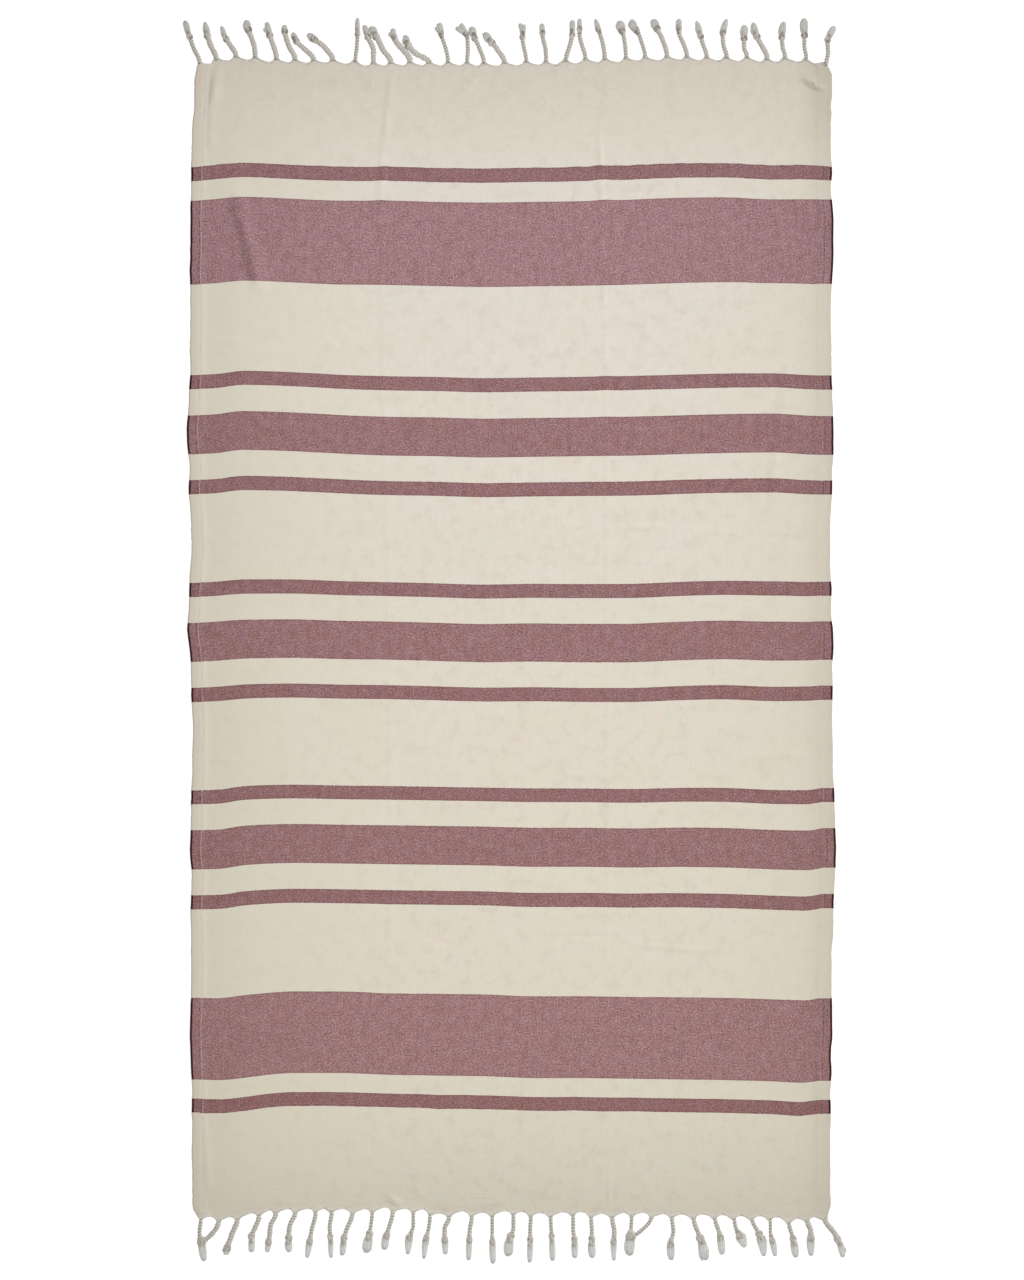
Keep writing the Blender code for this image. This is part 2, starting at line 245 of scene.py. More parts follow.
# Folds that run down or across the whole cloth, left by storage
FOLDS = tuple(Crease(*row) for row in (
    (1.2, 8, 11, ((316, 3), (305, 87), (300, 137), (296, 190), (297, 250))),
    (0.45, 9, 10, ((297, 200), (301, 480), (308, 760), (313, 1050), (312, 1420))),
    (1.3, 7, 7, ((637, 90), (641, 190), (645, 380))),
    (0.5, 7, 7, ((645, 330), (650, 640), (651, 1000), (650, 1440))),
    (0.9, 4, 4, ((652, 1690), (653, 1787))),
    (8.0, 9, 24, ((68, 203), (74, 227), (81, 251), (87, 274), (93, 297), (99, 318), (107, 352))),
    (4.2, 8, 11, ((932, 458), (930, 492), (924, 523), (916, 570), (912, 605), (910, 640), (906, 695))),
    (4.0, 6, 14, ((43, -4), (39, 17), (36, 40), (34, 58), (32, 76))),
    (1.6, 6, 12, ((34, 58), (32, 76), (31, 110), (31, 145))), (1.2, 7, 10, ((26, 1665), (31, 1785))),
    (8.0, 4, 12, ((950, 19), (963, 27), (974, 35), (985, 39), (996, 35))),
))

# Short creases and puckers, each read off the cloth where it lies
PUCKERS = tuple(Crease(*row) for row in (
    (1.6, 5, 6, ((216, 22), (268, 30))), (1.8, 5, 6, ((226, 54), (246, 84), (254, 96))),
    (1.5, 5, 6, ((314, 29), (361, 25), (375, 58))), (-1.8, 6, 6, ((420, 22), (455, 50), (485, 52))),
    (1.3, 5, 6, ((455, 28), (553, 31))), (1.3, 5, 6, ((500, 61), (573, 64))),
    (1.2, 5, 6, ((592, 108), (650, 104))), (1.4, 5, 6, ((952, 108), (978, 104))),
    (1.2, 5, 6, ((120, 44), (148, 60))), (1.2, 5, 6, ((700, 40), (735, 52))),
    (1.3, 5, 6, ((806, 62), (842, 70))), (1.5, 5, 6, ((268, 60), (290, 84))),
    (1.2, 5, 6, ((352, 92), (372, 112))), (1.1, 5, 6, ((640, 22), (690, 26))),
    (1.0, 7, 7, ((11, 426), (30, 427), (96, 434))), (0.9, 4, 5, ((196, 417), (238, 450))),
    (0.9, 5, 5, ((484, 417), (526, 433))), (1.2, 4, 5, ((629, 444), (654, 449))),
    (0.9, 4, 5, ((540, 445), (574, 446))), (0.9, 4, 5, ((722, 450), (753, 450))),
    (2.4, 6, 8, ((655, 729), (692, 722), (745, 720))), (1.6, 6, 8, ((790, 727), (852, 732))),
    (-2.2, 8, 7, ((876, 735), (925, 740), (965, 742))), (0.9, 6, 8, ((540, 716), (622, 719))),
    (1.0, 5, 6, ((14, 737), (45, 740))), (1.6, 6, 7, ((20, 1085), (76, 1083))),
    (1.4, 6, 7, ((862, 1080), (926, 1076), (962, 1079))), (-1.4, 6, 7, ((366, 1358), (418, 1379))),
    (-1.8, 6, 6, ((550, 1362), (620, 1358), (664, 1359))),
    (1.5, 6, 8, ((686, 1374), (726, 1374), (793, 1381), (855, 1378))),
    (1.0, 6, 8, ((665, 1360), (700, 1371))), (0.8, 5, 6, ((552, 1378), (608, 1379))),
    (1.9, 8, 8, ((306, 1762), (332, 1780))), (1.3, 6, 7, ((340, 1740), (368, 1770))),
    (0.9, 6, 7, ((52, 1689), (84, 1692))), (0.9, 6, 7, ((907, 1700), (911, 1750))),
    (0.8, 6, 7, ((712, 1742), (720, 1775))),
))

KINKS = tuple(Kink(*row) for row in (
    (302, 150, 1.3, 10), (296, 205, 1.1, 11), (643, 165, 1.2, 14), (646, 210, 1.1, 14),
    (648, 483, 0.8, 14), (649, 546, 0.6, 14),
))

CORDS = {end: tuple(Cord(*row) for row in rows) for end, rows in (
    (FringeEnd.TOP, (
        (15, -8, -15, -23, 70, 11, 47, 8, 0.3), (41, -7, -13, -18, 61, 12, 42, 9.5, 0.9),
        (72, -7, -16, -23, 50, 10, 32, 9, 0.9), (102, -2, -8, -16, 61, 14, 43, 9, 0.3),
        (135, -4, -10, -16, 61, 12, 42, 9, 0.8), (164, -8, -14, -18, 58, 11, 44, 9, 0.3),
        (193, -10, -24, -35, 46, 12, 34, 9), (223, -7, -18, -42, 43, 14, 34, 9.5, 0.5),
        (258, 2, 3, 3, 71, 9, 48, 7, 0.8), (286, 0, -7, -15, 62, 11, 45, 9, 0.4),
        (313, -11, -19, -31, 59, 13, 45, 10, 0.1), (343, -9, -22, -28, 56, 10, 39, 10, 0.3),
        (373, -20, -32, -39, 45, 14, 31, 10), (402, -3, -9, -15, 66, 12, 46, 7.2, 0.4),
        (432, 1, 0, -12, 65, 10, 45, 7.2, 0.3), (458, -5, -12, -21, 60, 13, 44, 7.7, 0.2),
        (490, -7, -17, -33, 49, 14, 35, 9, 0.3), (524, -3, -6, -5, 63, 11, 44, 7.2, 0.1),
        (555, -1, -5, -7, 63, 10, 45, 7.7, 0.4), (586, 5, 9, 10, 67, 10, 46, 8, 0.2),
        (616, -5, -9, -9, 67, 9, 47, 7.7), (646, -2, -7, -15, 65, 10, 46, 7.7, 0.8),
        (679, -1, -4, -12, 62, 15, 43, 7.2, 0.0), (709, -4, -10, -26, 62, 14, 43, 7.2, 0.0),
        (743, -4, -11, -23, 61, 14, 44, 8.5, 0.0), (774, -5, -12, -13, 63, 11, 44, 8, 0.3),
        (805, -5, -10, -16, 59, 12, 38, 7.7, 0.8), (836, -5, -6, 0, 63, 12, 39, 7.7, 0.9),
        (868, -5, -5, -4, 54, 13, 35, 7.7, 0.3), (899, -7, -16, -23, 60, 13, 40, 9, 0.7),
        (927, -4, -5, -2, 61, 13, 38, 7.7), (960, -3, -3, -4, 68, 14, 43, 7.2, 0.2),
        (991, 3, 2, 13, 64, 12, 45, 7.7, 0.4),
    )),
    (FringeEnd.BOTTOM, (
        (17, -2, 2, 5, 70, 14, 37, 7.4, 0.5), (45, -2, -7, -13, 34, 0, 34, 9.5),
        (74, -6, -12, -19, 59, 13, 45, 10, 0.4), (108, -6, -12, -12, 61, 12, 39, 9, 0.4),
        (134, -8, -10, -14, 65, 11, 46, 9, 0.4), (164, -8, -10, -10, 66, 13, 46, 9, 0.3),
        (196, -5, -9, -14, 75, 12, 46, 8, 0.9), (221, -3, -2, -1, 76, 10, 46, 8, 0.7),
        (253, -7, -13, -16, 69, 12, 45, 8.6, 0.5), (284, -2, -5, -10, 67, 16, 40, 7, 0.0),
        (316, -4, -9, -14, 63, 13, 38, 8, 0.2), (348, 0, -6, -9, 69, 13, 39, 7, 1.0),
        (374, -2, -7, -10, 73, 12, 38, 7, 1.0), (404, -7, -7, -6, 63, 12, 37, 8.6, 0.7),
        (439, -3, -4, -5, 73, 11, 38, 8, 0.5), (471, 0, 0, 1, 78, 12, 41, 7, 0.5),
        (504, 0, -6, -9, 69, 16, 40, 7.6, 0.1), (531, -1, -1, -2, 77, 11, 44, 7.6, 0.6),
        (562, 1, 2, 3, 73, 11, 37, 7, 0.3), (597, 0, 2, 2, 72, 12, 45, 7.6, 0.5),
        (625, 1, 1, 1, 69, 13, 41, 7.6, 0.3), (658, 3, 2, 2, 71, 11, 38, 8.6, 0.8),
        (688, -1, -2, -6, 67, 18, 33, 7, 0.1), (719, -4, -12, -19, 36, 0, 36, 7.8),
        (751, 2, -2, -2, 71, 14, 42, 7.6, 0.5), (785, 6, 13, 17, 71, 17, 37, 8.6, 0.0),
        (818, 5, 9, 11, 60, 13, 30, 8, 0.4), (848, 2, 9, 17, 48, 18, 27, 7, 1.0),
        (876, 8, 15, 18, 61, 16, 29, 7.6, 1.0), (904, 0, 3, 8, 61, 12, 33, 6.2, 0.8),
        (933, 4, 8, 11, 58, 13, 32, 7.6, 0.5), (962, 5, 5, 5, 59, 14, 28, 9.5, 0.7),
        (990, 12, 21, 28, 63, 12, 37, 10, 0.6),
    )),
)}

STRAYS = {end: tuple(Stray(*row) for row in rows) for end, rows in (
    (FringeEnd.TOP, (
        (5, 0.3, -7, 0.4), (12, 0.3, -8, 0.5), (14, 0.35, -7, 0.55), (15, 0.45, -11, 0.65),
        (18, 0.4, -5, 0.95), (24, 0.25, -6, 0.7),
    )),
    (FringeEnd.BOTTOM, (
        (3, 0.3, -6, 0.6), (26, 0.25, 5, 0.6), (33, 0.3, 4, 0.7),
    )),
)}


def eased(share: Array) -> Array:
    """A share from 0 to 1, with a soft start and a soft end."""
    return share * share * (3 - 2 * share)


def smooth_curve(at: Any, stations: Sequence[float], values: Any) -> Array:
    """Smooth curve through given values, which swings no further than they do.

    Args:
        at: Places to read the curve at.
        stations: Places of the given values, in order.
        values: One value, or one row of values, for each station.

    Returns:
        The curve's value, or row of values, at each place.
    """
    at = np.atleast_1d(np.asarray(at, float))
    stations, values = np.asarray(stations, float), np.asarray(values, float)
    wide = (slice(None),) + (None,) * (values.ndim - 1)
    chords = np.diff(values, axis=0) / np.diff(stations)[wide]
    before, after = chords[:-1], chords[1:]
    same_way = before * after > 0
    inner = np.where(same_way, 2 * before * after / np.where(same_way, before + after, 1), 0)
    slopes = np.concatenate((chords[:1], inner, chords[-1:]))
    low = np.clip(np.searchsorted(stations, at) - 1, 0, len(stations) - 2)
    step = (stations[low + 1] - stations[low])[wide]
    u = np.clip((at - stations[low])[wide] / step, 0, 1)
    ease = eased(u)
    start = values[low] + slopes[low] * step * u * (1 - u)
    end = values[low + 1] - slopes[low + 1] * step * u * (1 - u)
    return start * (1 - ease) + end * ease


def column(rows: Sequence[NamedTuple], name: str) -> Array:
    """One named column of a table, as an array."""
    return np.array([getattr(row, name) for row in rows], float)


@dataclass
class TowelPlan:
    """The towel's outline and lie, and the way from a place on it to a point of the scene."""

    width: float = 1000.0
    length: float = 1790.0
    packed_left: float = 6.0
    packed_up: float = 2.7
    root_reach: float = 33.0
    root_draw: float = 4.5
    root_gap: float = 0.8
    scallop: float = 6.0
    kink_length: float = 3.0
    fold_run_out: float = 30.0
    ripple: float = 1.1
    ripple_length: float = 95.0
    edge_wander: float = 0.2

    def __post_init__(self) -> None:
        """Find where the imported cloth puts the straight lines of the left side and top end."""
        low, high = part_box("towel_cloth")
        self.left_line = low.x / MM + self.packed_left
        self.top_line = high.y / MM - self.packed_up

    def world(self, places: Array) -> Array:
        """Points of the scene in metres, from rows of across, down and height."""
        return np.column_stack(((self.left_line + places[:, 0]) * MM,
                                (self.top_line - places[:, 1]) * MM, places[:, 2] * MM))

    def sides(self, down: Any) -> tuple[Array, Array]:
        """The left and the right side's place across, at some distances down."""
        left, right = (smooth_curve(down, column(SIDES, "down"), column(SIDES, name))
                       for name in ("left", "right"))
        return -left, self.width + right

    def straight(self, end: FringeEnd) -> float:
        """How far down an end's straight line lies."""
        return 0.0 if end is FringeEnd.TOP else self.length

    def corners(self, end: FringeEnd) -> tuple[float, float]:
        """Places across of an end's two corners."""
        left, right = self.sides(self.straight(end))
        return left[0], right[0]

    def end_out(self, across: Any, end: FringeEnd) -> Array:
        """How far out the last weft lies at one end, at some distances across."""
        left, right = self.corners(end)
        places = left + (right - left) * column(ENDS, "across") / self.width
        return np.interp(across, places, column(ENDS, end.name.lower()))

    def edge(self, across: Any, end: FringeEnd) -> Array:
        """The last weft's place down the towel at one end, at some distances across."""
        return self.straight(end) + end.out * self.end_out(across, end)

    def root_reaches(self, cord: Cord) -> tuple[float, float]:
        """How far to its left and right a cord gathers warp ends: further on its open side."""
        even, lean, least, most = 0.53, 75.0, 0.36, 0.66
        right = self.root_reach * float(np.clip(even - cord.tip / lean, least, most))
        return self.root_reach - right, right

    def root_spans(self, end: FringeEnd) -> list[tuple[float, float]]:
        """The stretch of the last weft that each cord's warp ends take.

        Args:
            end: The end that the cords grow out of.

        Returns:
            The low and the high place across of each cord's stretch, left to right.
        """
        low_side, high_side = self.corners(end)
        reaches = [(cord.root, *self.root_reaches(cord)) for cord in CORDS[end]]
        lows = [max(low_side, root - left) for root, left, _ in reaches]
        highs = [root + right for root, _, right in reaches]
        return [(low, min(high, after) - self.root_gap)
                for low, high, after in zip(lows, highs, lows[1:] + [high_side])]

    def scalloped(self, across: Any, end: FringeEnd) -> Array:
        """How far the cloth's edge is drawn out at the cords' roots, and in between them.

        Args:
            across: Distances across.
            end: The end of the towel.

        Returns:
            How far out, less than nothing between the roots.
        """
        pointed, hollow = 1.3, 0.35
        drawn = np.zeros(np.shape(across))
        for cord in CORDS[end]:
            left, right = self.root_reaches(cord)
            aside = across - cord.root
            reach = np.where(aside > 0, right, left)
            drawn = np.maximum(drawn, (1 - np.clip(np.abs(aside) / reach, 0, 1)) ** pointed)
        return self.scallop * (drawn - hollow)

    def drawn_edge(self, across: Any, end: FringeEnd) -> Array:
        """The cloth's edge as the cords draw it: its place down at some distances across."""
        return self.edge(across, end) + end.out * self.scalloped(across, end)

    def gathered(self, across: Array, end: FringeEnd) -> Array:
        """Places across of warp ends along an end, those nearest to the cords' roots on them."""
        moved = across.copy()
        for root in column(CORDS[end], "root"):
            nearest = np.abs(across - root).argmin()
            if abs(across[nearest] - root) < self.root_draw:
                moved[nearest] = root
        return moved

    def placed(self, across: Array, down: Array,
               at_ends: tuple[Array, Array] | None = None) -> Array:
        """Where wefts lie along the towel once their bow is added.

        Args:
            across: Distances across.
            down: Distances down at which the wefts were woven.
            at_ends: Where the same warp ends lie across at the top and bottom, if elsewhere.

        Returns:
            Distances down as the wefts lie: a row for each of down, a column for each of across.
        """
        bows = [smooth_curve(across, column(BOWS, "across"), column(BOWS, name))
                for name in Bow._fields[1:]]
        at_top, at_bottom = at_ends or (across, across)
        smooth_first = -self.end_out(at_top, FringeEnd.TOP)
        smooth_last = self.end_out(at_bottom, FringeEnd.BOTTOM)
        near = 12.0
        stations = (0.0, near, *BOW_STATIONS, self.length - near, self.length)
        rows = np.array([smooth_first - self.scalloped(at_top, FringeEnd.TOP), smooth_first, *bows,
                         smooth_last, smooth_last + self.scalloped(at_bottom, FringeEnd.BOTTOM)])
        return down[:, None] + smooth_curve(down, stations, rows) - self.kinked(across, down)

    def kinked(self, across: Array, down: Array) -> Array:
        """How far the folds lift the wefts out of line: a row for each of down."""
        rise = np.zeros((len(down), len(across)))
        for kink in KINKS:
            near_it = np.exp(-((across - kink.across) / kink.reach) ** 2)
            along_it = np.exp(-((down - kink.down) / (self.kink_length * kink.reach)) ** 2)
            rise += kink.rise * along_it[:, None] * near_it[None]
        return rise

    def lift(self, across: Array, down: Array) -> Array:
        """Height of the cloth's underside above the floor: its creases on a slight ripple."""
        height = self.rippled(across, down)
        for crease in FOLDS + PUCKERS:
            height += self.ridge(crease, across, down)
        return np.maximum(height, 0.0)

    def ridge(self, crease: Crease, across: Array, down: Array) -> Array:
        """Height of one crease: a rounded crest along its path, sinking at both of its ends.

        Args:
            crease: The crease.
            across: Distances across, any shape.
            down: Distances down, the same shape.

        Returns:
            Heights, the same shape.
        """
        nearest, place, walked = np.full(across.shape, np.inf), np.zeros(across.shape), 0.0
        lower = np.zeros(across.shape, bool)
        for (x0, y0), (x1, y1) in zip(crease.path, crease.path[1:]):
            length = math.hypot(x1 - x0, y1 - y0)
            aside, along = across - x0, down - y0
            share = np.clip((aside * (x1 - x0) + along * (y1 - y0)) / length ** 2, 0, 1)
            gap = np.hypot(aside - share * (x1 - x0), along - share * (y1 - y0))
            nearer = gap < nearest
            lower = np.where(nearer, (x1 - x0) * along - (y1 - y0) * aside > 0, lower)
            place = np.where(nearer, walked + share * length, place)
            nearest = np.minimum(gap, nearest)
            walked += length
        half = np.where(lower, crease.lower_left, crease.upper_right)
        crest = np.cos(math.pi / 2 * np.clip(nearest / half, 0, 1)) ** 2
        run_out = min(self.fold_run_out, walked / 2.5)
        sink = eased(np.clip(np.minimum(place, walked - place) / run_out, 0, 1))
        low_end, swing, wave, slow_wave = 0.15, 0.15, 31.0, 53.0
        uneven = 1 - swing + swing * np.sin(place / wave + half) * np.sin(place / slow_wave)
        return crease.height * crest * (low_end + (1 - low_end) * sink) * uneven

    def rippled(self, across: Array, down: Array) -> Array:
        """The slight uneven lie of loose cloth, down on the floor at its sides and ends.

        Args:
            across: Distances across, any shape.
            down: Distances down, the same shape.

        Returns:
            Heights, the same shape.
        """
        stretch, layer, mean, swing = 0.7, 0.3, 0.75, 0.5
        flat = np.column_stack((across.ravel(), down.ravel())) / self.ripple_length
        waves = [noise.noise(Vector((x, stretch * y, layer))) for x, y in flat]
        height = self.ripple * (mean + swing * np.array(waves).reshape(across.shape))
        from_side = np.minimum(across, self.width - across)
        from_end = np.minimum(down, self.length - down)
        margin, reach, at_end = 10.0, 60.0, 0.2
        held = np.clip((from_side - margin) / reach, 0, 1)
        return height * held * np.clip((from_end + margin) / reach, at_end, 1)


def linear(hex_colour: str) -> tuple[float, float, float, float]:
    """Linear colour of an sRGB hex value.

    Args:
        hex_colour: Six hex digits after a #.

    Returns:
        Red, green, blue and alpha, linear.
    """
    shares = [int(hex_colour[i:i + 2], 16) / 255 for i in (1, 3, 5)]
    low_end, scale, offset, power = 0.04045, 12.92, 0.055, 2.4
    red, green, blue = (
        s / scale if s <= low_end else ((s + offset) / (1 + offset)) ** power for s in shares
    )
    return red, green, blue, 1.0


class Node(NamedTuple):
    """A shader node to add: its type, its settings, the inputs that it is given, its output."""

    kind: str
    settings: dict[str, Any]
    inputs: tuple[int | str, ...]
    output: int | str = 0


ADD, SUBTRACT, MULTIPLY, MINIMUM, MAXIMUM, ABSOLUTE, SINE = (
    Node("ShaderNodeMath", {"operation": name}, (0, 1))
    for name in ("ADD", "SUBTRACT", "MULTIPLY", "MINIMUM", "MAXIMUM", "ABSOLUTE", "SINE")
)
MIX = Node("ShaderNodeMix", {"data_type": "RGBA"}, (0, 6, 7), 2)
RANGE = Node("ShaderNodeMapRange", {"interpolation_type": "SMOOTHSTEP"},
             ("Value", "From Min", "From Max", "To Min", "To Max"))
DIVIDE = Node("ShaderNodeVectorMath", {"operation": "DIVIDE"}, (0, 1))
TINT = Node("ShaderNodeVectorMath", {"operation": "MULTIPLY"}, (0, 1))
SCALE = Node("ShaderNodeVectorMath", {"operation": "SCALE"}, (0, "Scale"))
NOISE = Node("ShaderNodeTexNoise", {"noise_dimensions": "3D"},
             ("Vector", "Detail", "Scale", "Roughness"), "Fac")
FIRST, SECOND = (Node("ShaderNodeSeparateXYZ", {}, (0,), output) for output in (0, 1))
OBJECT_PLACE = Node("ShaderNodeTexCoord", {}, (), "Object")
WEAVE, STRAND = (Node("ShaderNodeAttribute", {"attribute_name": name}, (), "Vector")
                 for name in ("weave", "strand"))
STRIPE_DEPTH, STRIPE_DEEPER, CUT, TIED, GROOVE_SHADE, WOVEN = (
    Node("ShaderNodeAttribute", {"attribute_name": name}, (), "Fac")
    for name in ("stripe_depth", "stripe_deeper", "cut", "tied", "groove", "woven")
)
BUMP = Node("ShaderNodeBump", {}, ("Height", "Strength", "Distance"))


class Recipe:
    """A material in the making: its nodes, added one at a time."""

    def __init__(self, name: str) -> None:
        """Start a material of this name; it comes with its Principled shader."""
        self.material = bpy.data.materials.new(name)
        self.material.use_nodes = True
        self.tree = self.material.node_tree

    def give(self, socket: Socket, item: Any) -> None:
        """Give an input its value, or a link from another node's socket."""
        if isinstance(item, Socket):
            self.tree.links.new(item, socket)
        else:
            socket.default_value = item

    def add(self, node: Node, *items: Any) -> Socket:
        """Add one node.

        Args:
            node: What it is.
            items: A value or a socket for each of its inputs; the rest keep their defaults.

        Returns:
            The node's output.
        """
        new = self.tree.nodes.new(node.kind)
        for name, value in node.settings.items():
            setattr(new, name, value)
        for key, item in zip(node.inputs, items):
            self.give(new.inputs[key], item)
        return new.outputs[node.output]

    def object_place(self) -> Socket:
        """Place on the object, in millimetres."""
        return self.add(SCALE, self.add(OBJECT_PLACE), 1 / MM)

    def grain(self, place: Socket, size: tuple[float, ...], detail: float = 2.0) -> Socket:
        """Soft noise, about 0.5, whose blotches are so many millimetres long each way."""
        return self.add(NOISE, self.add(DIVIDE, place, size), detail, 1.0, 0.6)

    def marked(self, colour: Any, marks: Sequence[tuple[Socket, float, float, float, str]]) -> Any:
        """Lay marks of other colours over a colour in turn.

        Args:
            colour: The colour to start from.
            marks: For each, the pattern that it follows, the pattern's values where it starts
                and where it is full, its share there, and its hex colour.

        Returns:
            The marked colour.
        """
        for pattern, starts, full, share, tint in marks:
            mark = self.add(RANGE, pattern, starts, full, 0.0, share)
            colour = self.add(MIX, mark, colour, linear(tint))
        return colour

    def finished(self, **sockets: Any) -> Material:
        """The material, its shader's sockets given their values or links."""
        shader = self.tree.nodes["Principled BSDF"]
        for name, item in sockets.items():
            self.give(shader.inputs[name.replace("_", " ")], item)
        return self.material


@dataclass
class TwillFinish:
    """Cotton twill with a cream warp: cream weft on the ground, mauve weft in the stripes.

    Woven and washed, so it is matt, finely flecked where the cream warp shows between the mauve
    wefts, and a little mottled everywhere. The weft turns round the cloth's edge uncovered, so
    the stripes end in a thin line of burgundy there, deepened by painted shade where the fold
    turns away. Painted shade also greys the cream's fold, dots the needle's line in the stripes,
    and darkens the right side and the top right corner.
    """

    plan: TowelPlan
    cream: str = "#E6DED4"
    cream_warm: str = "#E3DBC7"
    cream_pink: str = "#E6D6CC"
    cream_green: str = "#DDDCCB"
    # Mottle, slubs, nubs and flecks of the cream, and also painted shade down the right side
    cream_shadow: str = "#C4BAA8"
    # Painted shade on the cream ground's fold
    cream_edge: str = "#D3C9B9"
    cream_end: str = "#EBE9E2"
    hem_blush: str = "#DCC9BC"
    mauve: str = "#A67E83"
    mauve_brown: str = "#A37876"
    packed: str = "#E9E1DF"
    # Dark flecks, darker first wefts and flap, and also painted shade down the right side of the
    # stripes
    fleck_dark: str = "#55333A"
    fleck_light: str = "#DDC2BF"
    # The weft's own burgundy, also used as painted shade on the fold and along the needle's line
    burgundy: str = "#3C161C"
    # The diamonds of the twill are about 2.5 mm; drawn at 4.7 mm, or they would not show
    diamond: float = 4.7
    # Threads lie 0.6 mm apart; their flecks are drawn at 2.35 mm, or they would not show
    fleck_size: float = 2.35
    border: float = 0.35
    selvedge: float = 3.5
    needle_line: float = 13.6
    blush_width: float = 11.5
    bump_height: float = 0.3

    def __post_init__(self) -> None:
        """Start the material with what its looks share: the place on the weave, and the flecks."""
        self.recipe = Recipe("cotton_twill")
        self.add = self.recipe.add
        self.weave = self.add(WEAVE)
        self.across, self.down = self.add(FIRST, self.weave), self.add(SECOND, self.weave)
        self.fleck = self.grain((self.fleck_size,) * 3, 0.6)

    def make(self) -> Material:
        """Build the material, which reads the attributes weave, stripe_depth and stripe_deeper.

        Returns:
            The material.
        """
        depth = self.add(STRIPE_DEPTH)
        lower = self.lower_share()
        cream, mauve = self.hemmed(self.ground(lower), self.melange(lower, depth))
        fray = self.add(MULTIPLY, self.add(SUBTRACT, self.fleck, 0.5), 1.4)
        in_stripe = self.add(RANGE, self.add(ADD, depth, fray), -self.border, self.border)
        return self.recipe.finished(
            Base_Color=self.add(MIX, in_stripe, cream, mauve),
            Normal=self.add(BUMP, self.relief(), 0.6, self.bump_height * MM),
            Roughness=0.92, Specular_IOR_Level=0.2, Sheen_Weight=0.06, Sheen_Roughness=0.6)

    def grain(self, size: tuple[float, ...], detail: float = 2.0) -> Socket:
        """Soft noise on the weave, with blotches of a given size."""
        return self.recipe.grain(self.weave, size, detail)

    def lower_share(self) -> Socket:
        """How far down the towel, in uneven patches: its lower part has yellowed a little."""
        patches = self.add(SUBTRACT, self.grain((110.0, 70.0, 90.0), 3.0), 0.5)
        uneven = self.add(ADD, self.down, self.add(MULTIPLY, patches, 1500.0))
        return self.add(RANGE, uneven, 0.0, self.plan.length)

    def side_share(self) -> Socket:
        """How near the sides and the top end: they have yellowed as well."""
        beside = self.add(ADD, self.add(RANGE, self.across, 0.0, 420.0, 0.6, 0.0),
                          self.add(RANGE, self.across, 760.0, 1000.0, 0.0, 0.4))
        return self.add(MAXIMUM, beside, self.add(RANGE, self.down, 100.0, 190.0, 0.4, 0.0))

    def ground(self, lower: Socket) -> Socket:
        """Cream ground: blotches, thin slubs both ways, a few darker nubs, the last wefts paler.

        Args:
            lower: How far down the towel.

        Returns:
            Its colour.
        """
        length, marked = self.plan.length, self.recipe.marked
        colour = marked(self.add(MIX, lower, linear(self.cream), linear(self.cream_warm)), (
            (self.grain((21.0, 23.0, 24.0)), 0.46, 0.72, 0.24, self.cream_shadow),
            (self.grain((17.0, 20.0, 11.0)), 0.5, 0.68, 0.5, self.cream_pink),
            (self.grain((19.0, 17.0, 13.0)), 0.5, 0.68, 0.5, self.cream_green),
            (self.grain((20.0, 2.6, 20.0)), 0.52, 0.8, 0.16, self.cream_shadow),
            (self.grain((2.6, 24.0, 20.0)), 0.5, 0.78, 0.18, self.cream_shadow),
            (self.grain((4.0, 5.5, 3.2)), 0.66, 0.8, 0.3, self.cream_shadow),
        ))
        colour = self.add(MIX, self.side_share(), colour, linear(self.cream_warm))
        return marked(colour, (
            (self.down, 4.0, 1.0, 0.25, self.cream_end),
            (self.down, length - 6.0, length - 2.0, 0.6, self.cream_end),
            (self.fleck, 0.4, 0.75, 0.08, self.cream_shadow),
        ))

    def melange(self, lower: Socket, depth: Socket) -> Socket:
        """Mauve weft over cream warp: two mauves in blotches with dark and light flecks, and the
        first wefts of each stripe, packed closer, a little darker.

        Args:
            lower: How far down the towel.
            depth: How far inside a stripe.

        Returns:
            Its colour.
        """
        blotches = self.add(RANGE, self.grain((17.0, 22.0, 24.0), 3.0), 0.38, 0.62, -0.6, 0.6)
        share = self.add(ADD, lower, blotches)
        clouds = self.grain((12.0, 13.0, 7.0))
        colour = self.recipe.marked(
            self.add(MIX, share, linear(self.mauve), linear(self.mauve_brown)), (
                (self.grain((7.0, 60.0, 24.0)), 0.4, 0.7, 0.14, self.fleck_dark),
                (clouds, 0.5, 0.3, 0.14, self.fleck_dark),
                (clouds, 0.5, 0.7, 0.1, self.fleck_light),
                (self.fleck, 0.52, 0.25, 0.5, self.fleck_dark),
                (self.fleck, 0.52, 0.77, 0.4, self.fleck_light),
                (self.diamonds(), -0.6, 0.9, 0.06, self.fleck_light),
            ))
        tint = self.add(MIX, self.add(STRIPE_DEEPER), linear("#FFFFFF"), linear(self.packed))
        return self.recipe.marked(self.add(TINT, colour, tint),
                                  ((depth, 2.4, 1.2, 0.2, self.fleck_dark),))

    def diamonds(self) -> Socket:
        """The twill's small diamonds: two sets of slanting ribs that cross, from -1 to 1."""
        sway = self.add(SUBTRACT, self.grain((14.0, 14.0, 14.0), 1.0), 0.5)
        across = self.add(ADD, self.across, self.add(MULTIPLY, sway, self.diamond))
        rising, falling = (
            self.add(SINE, self.add(MULTIPLY, self.add(way, across, self.down),
                                    FULL_TURN / self.diamond)) for way in (ADD, SUBTRACT))
        return self.add(MULTIPLY, rising, falling)

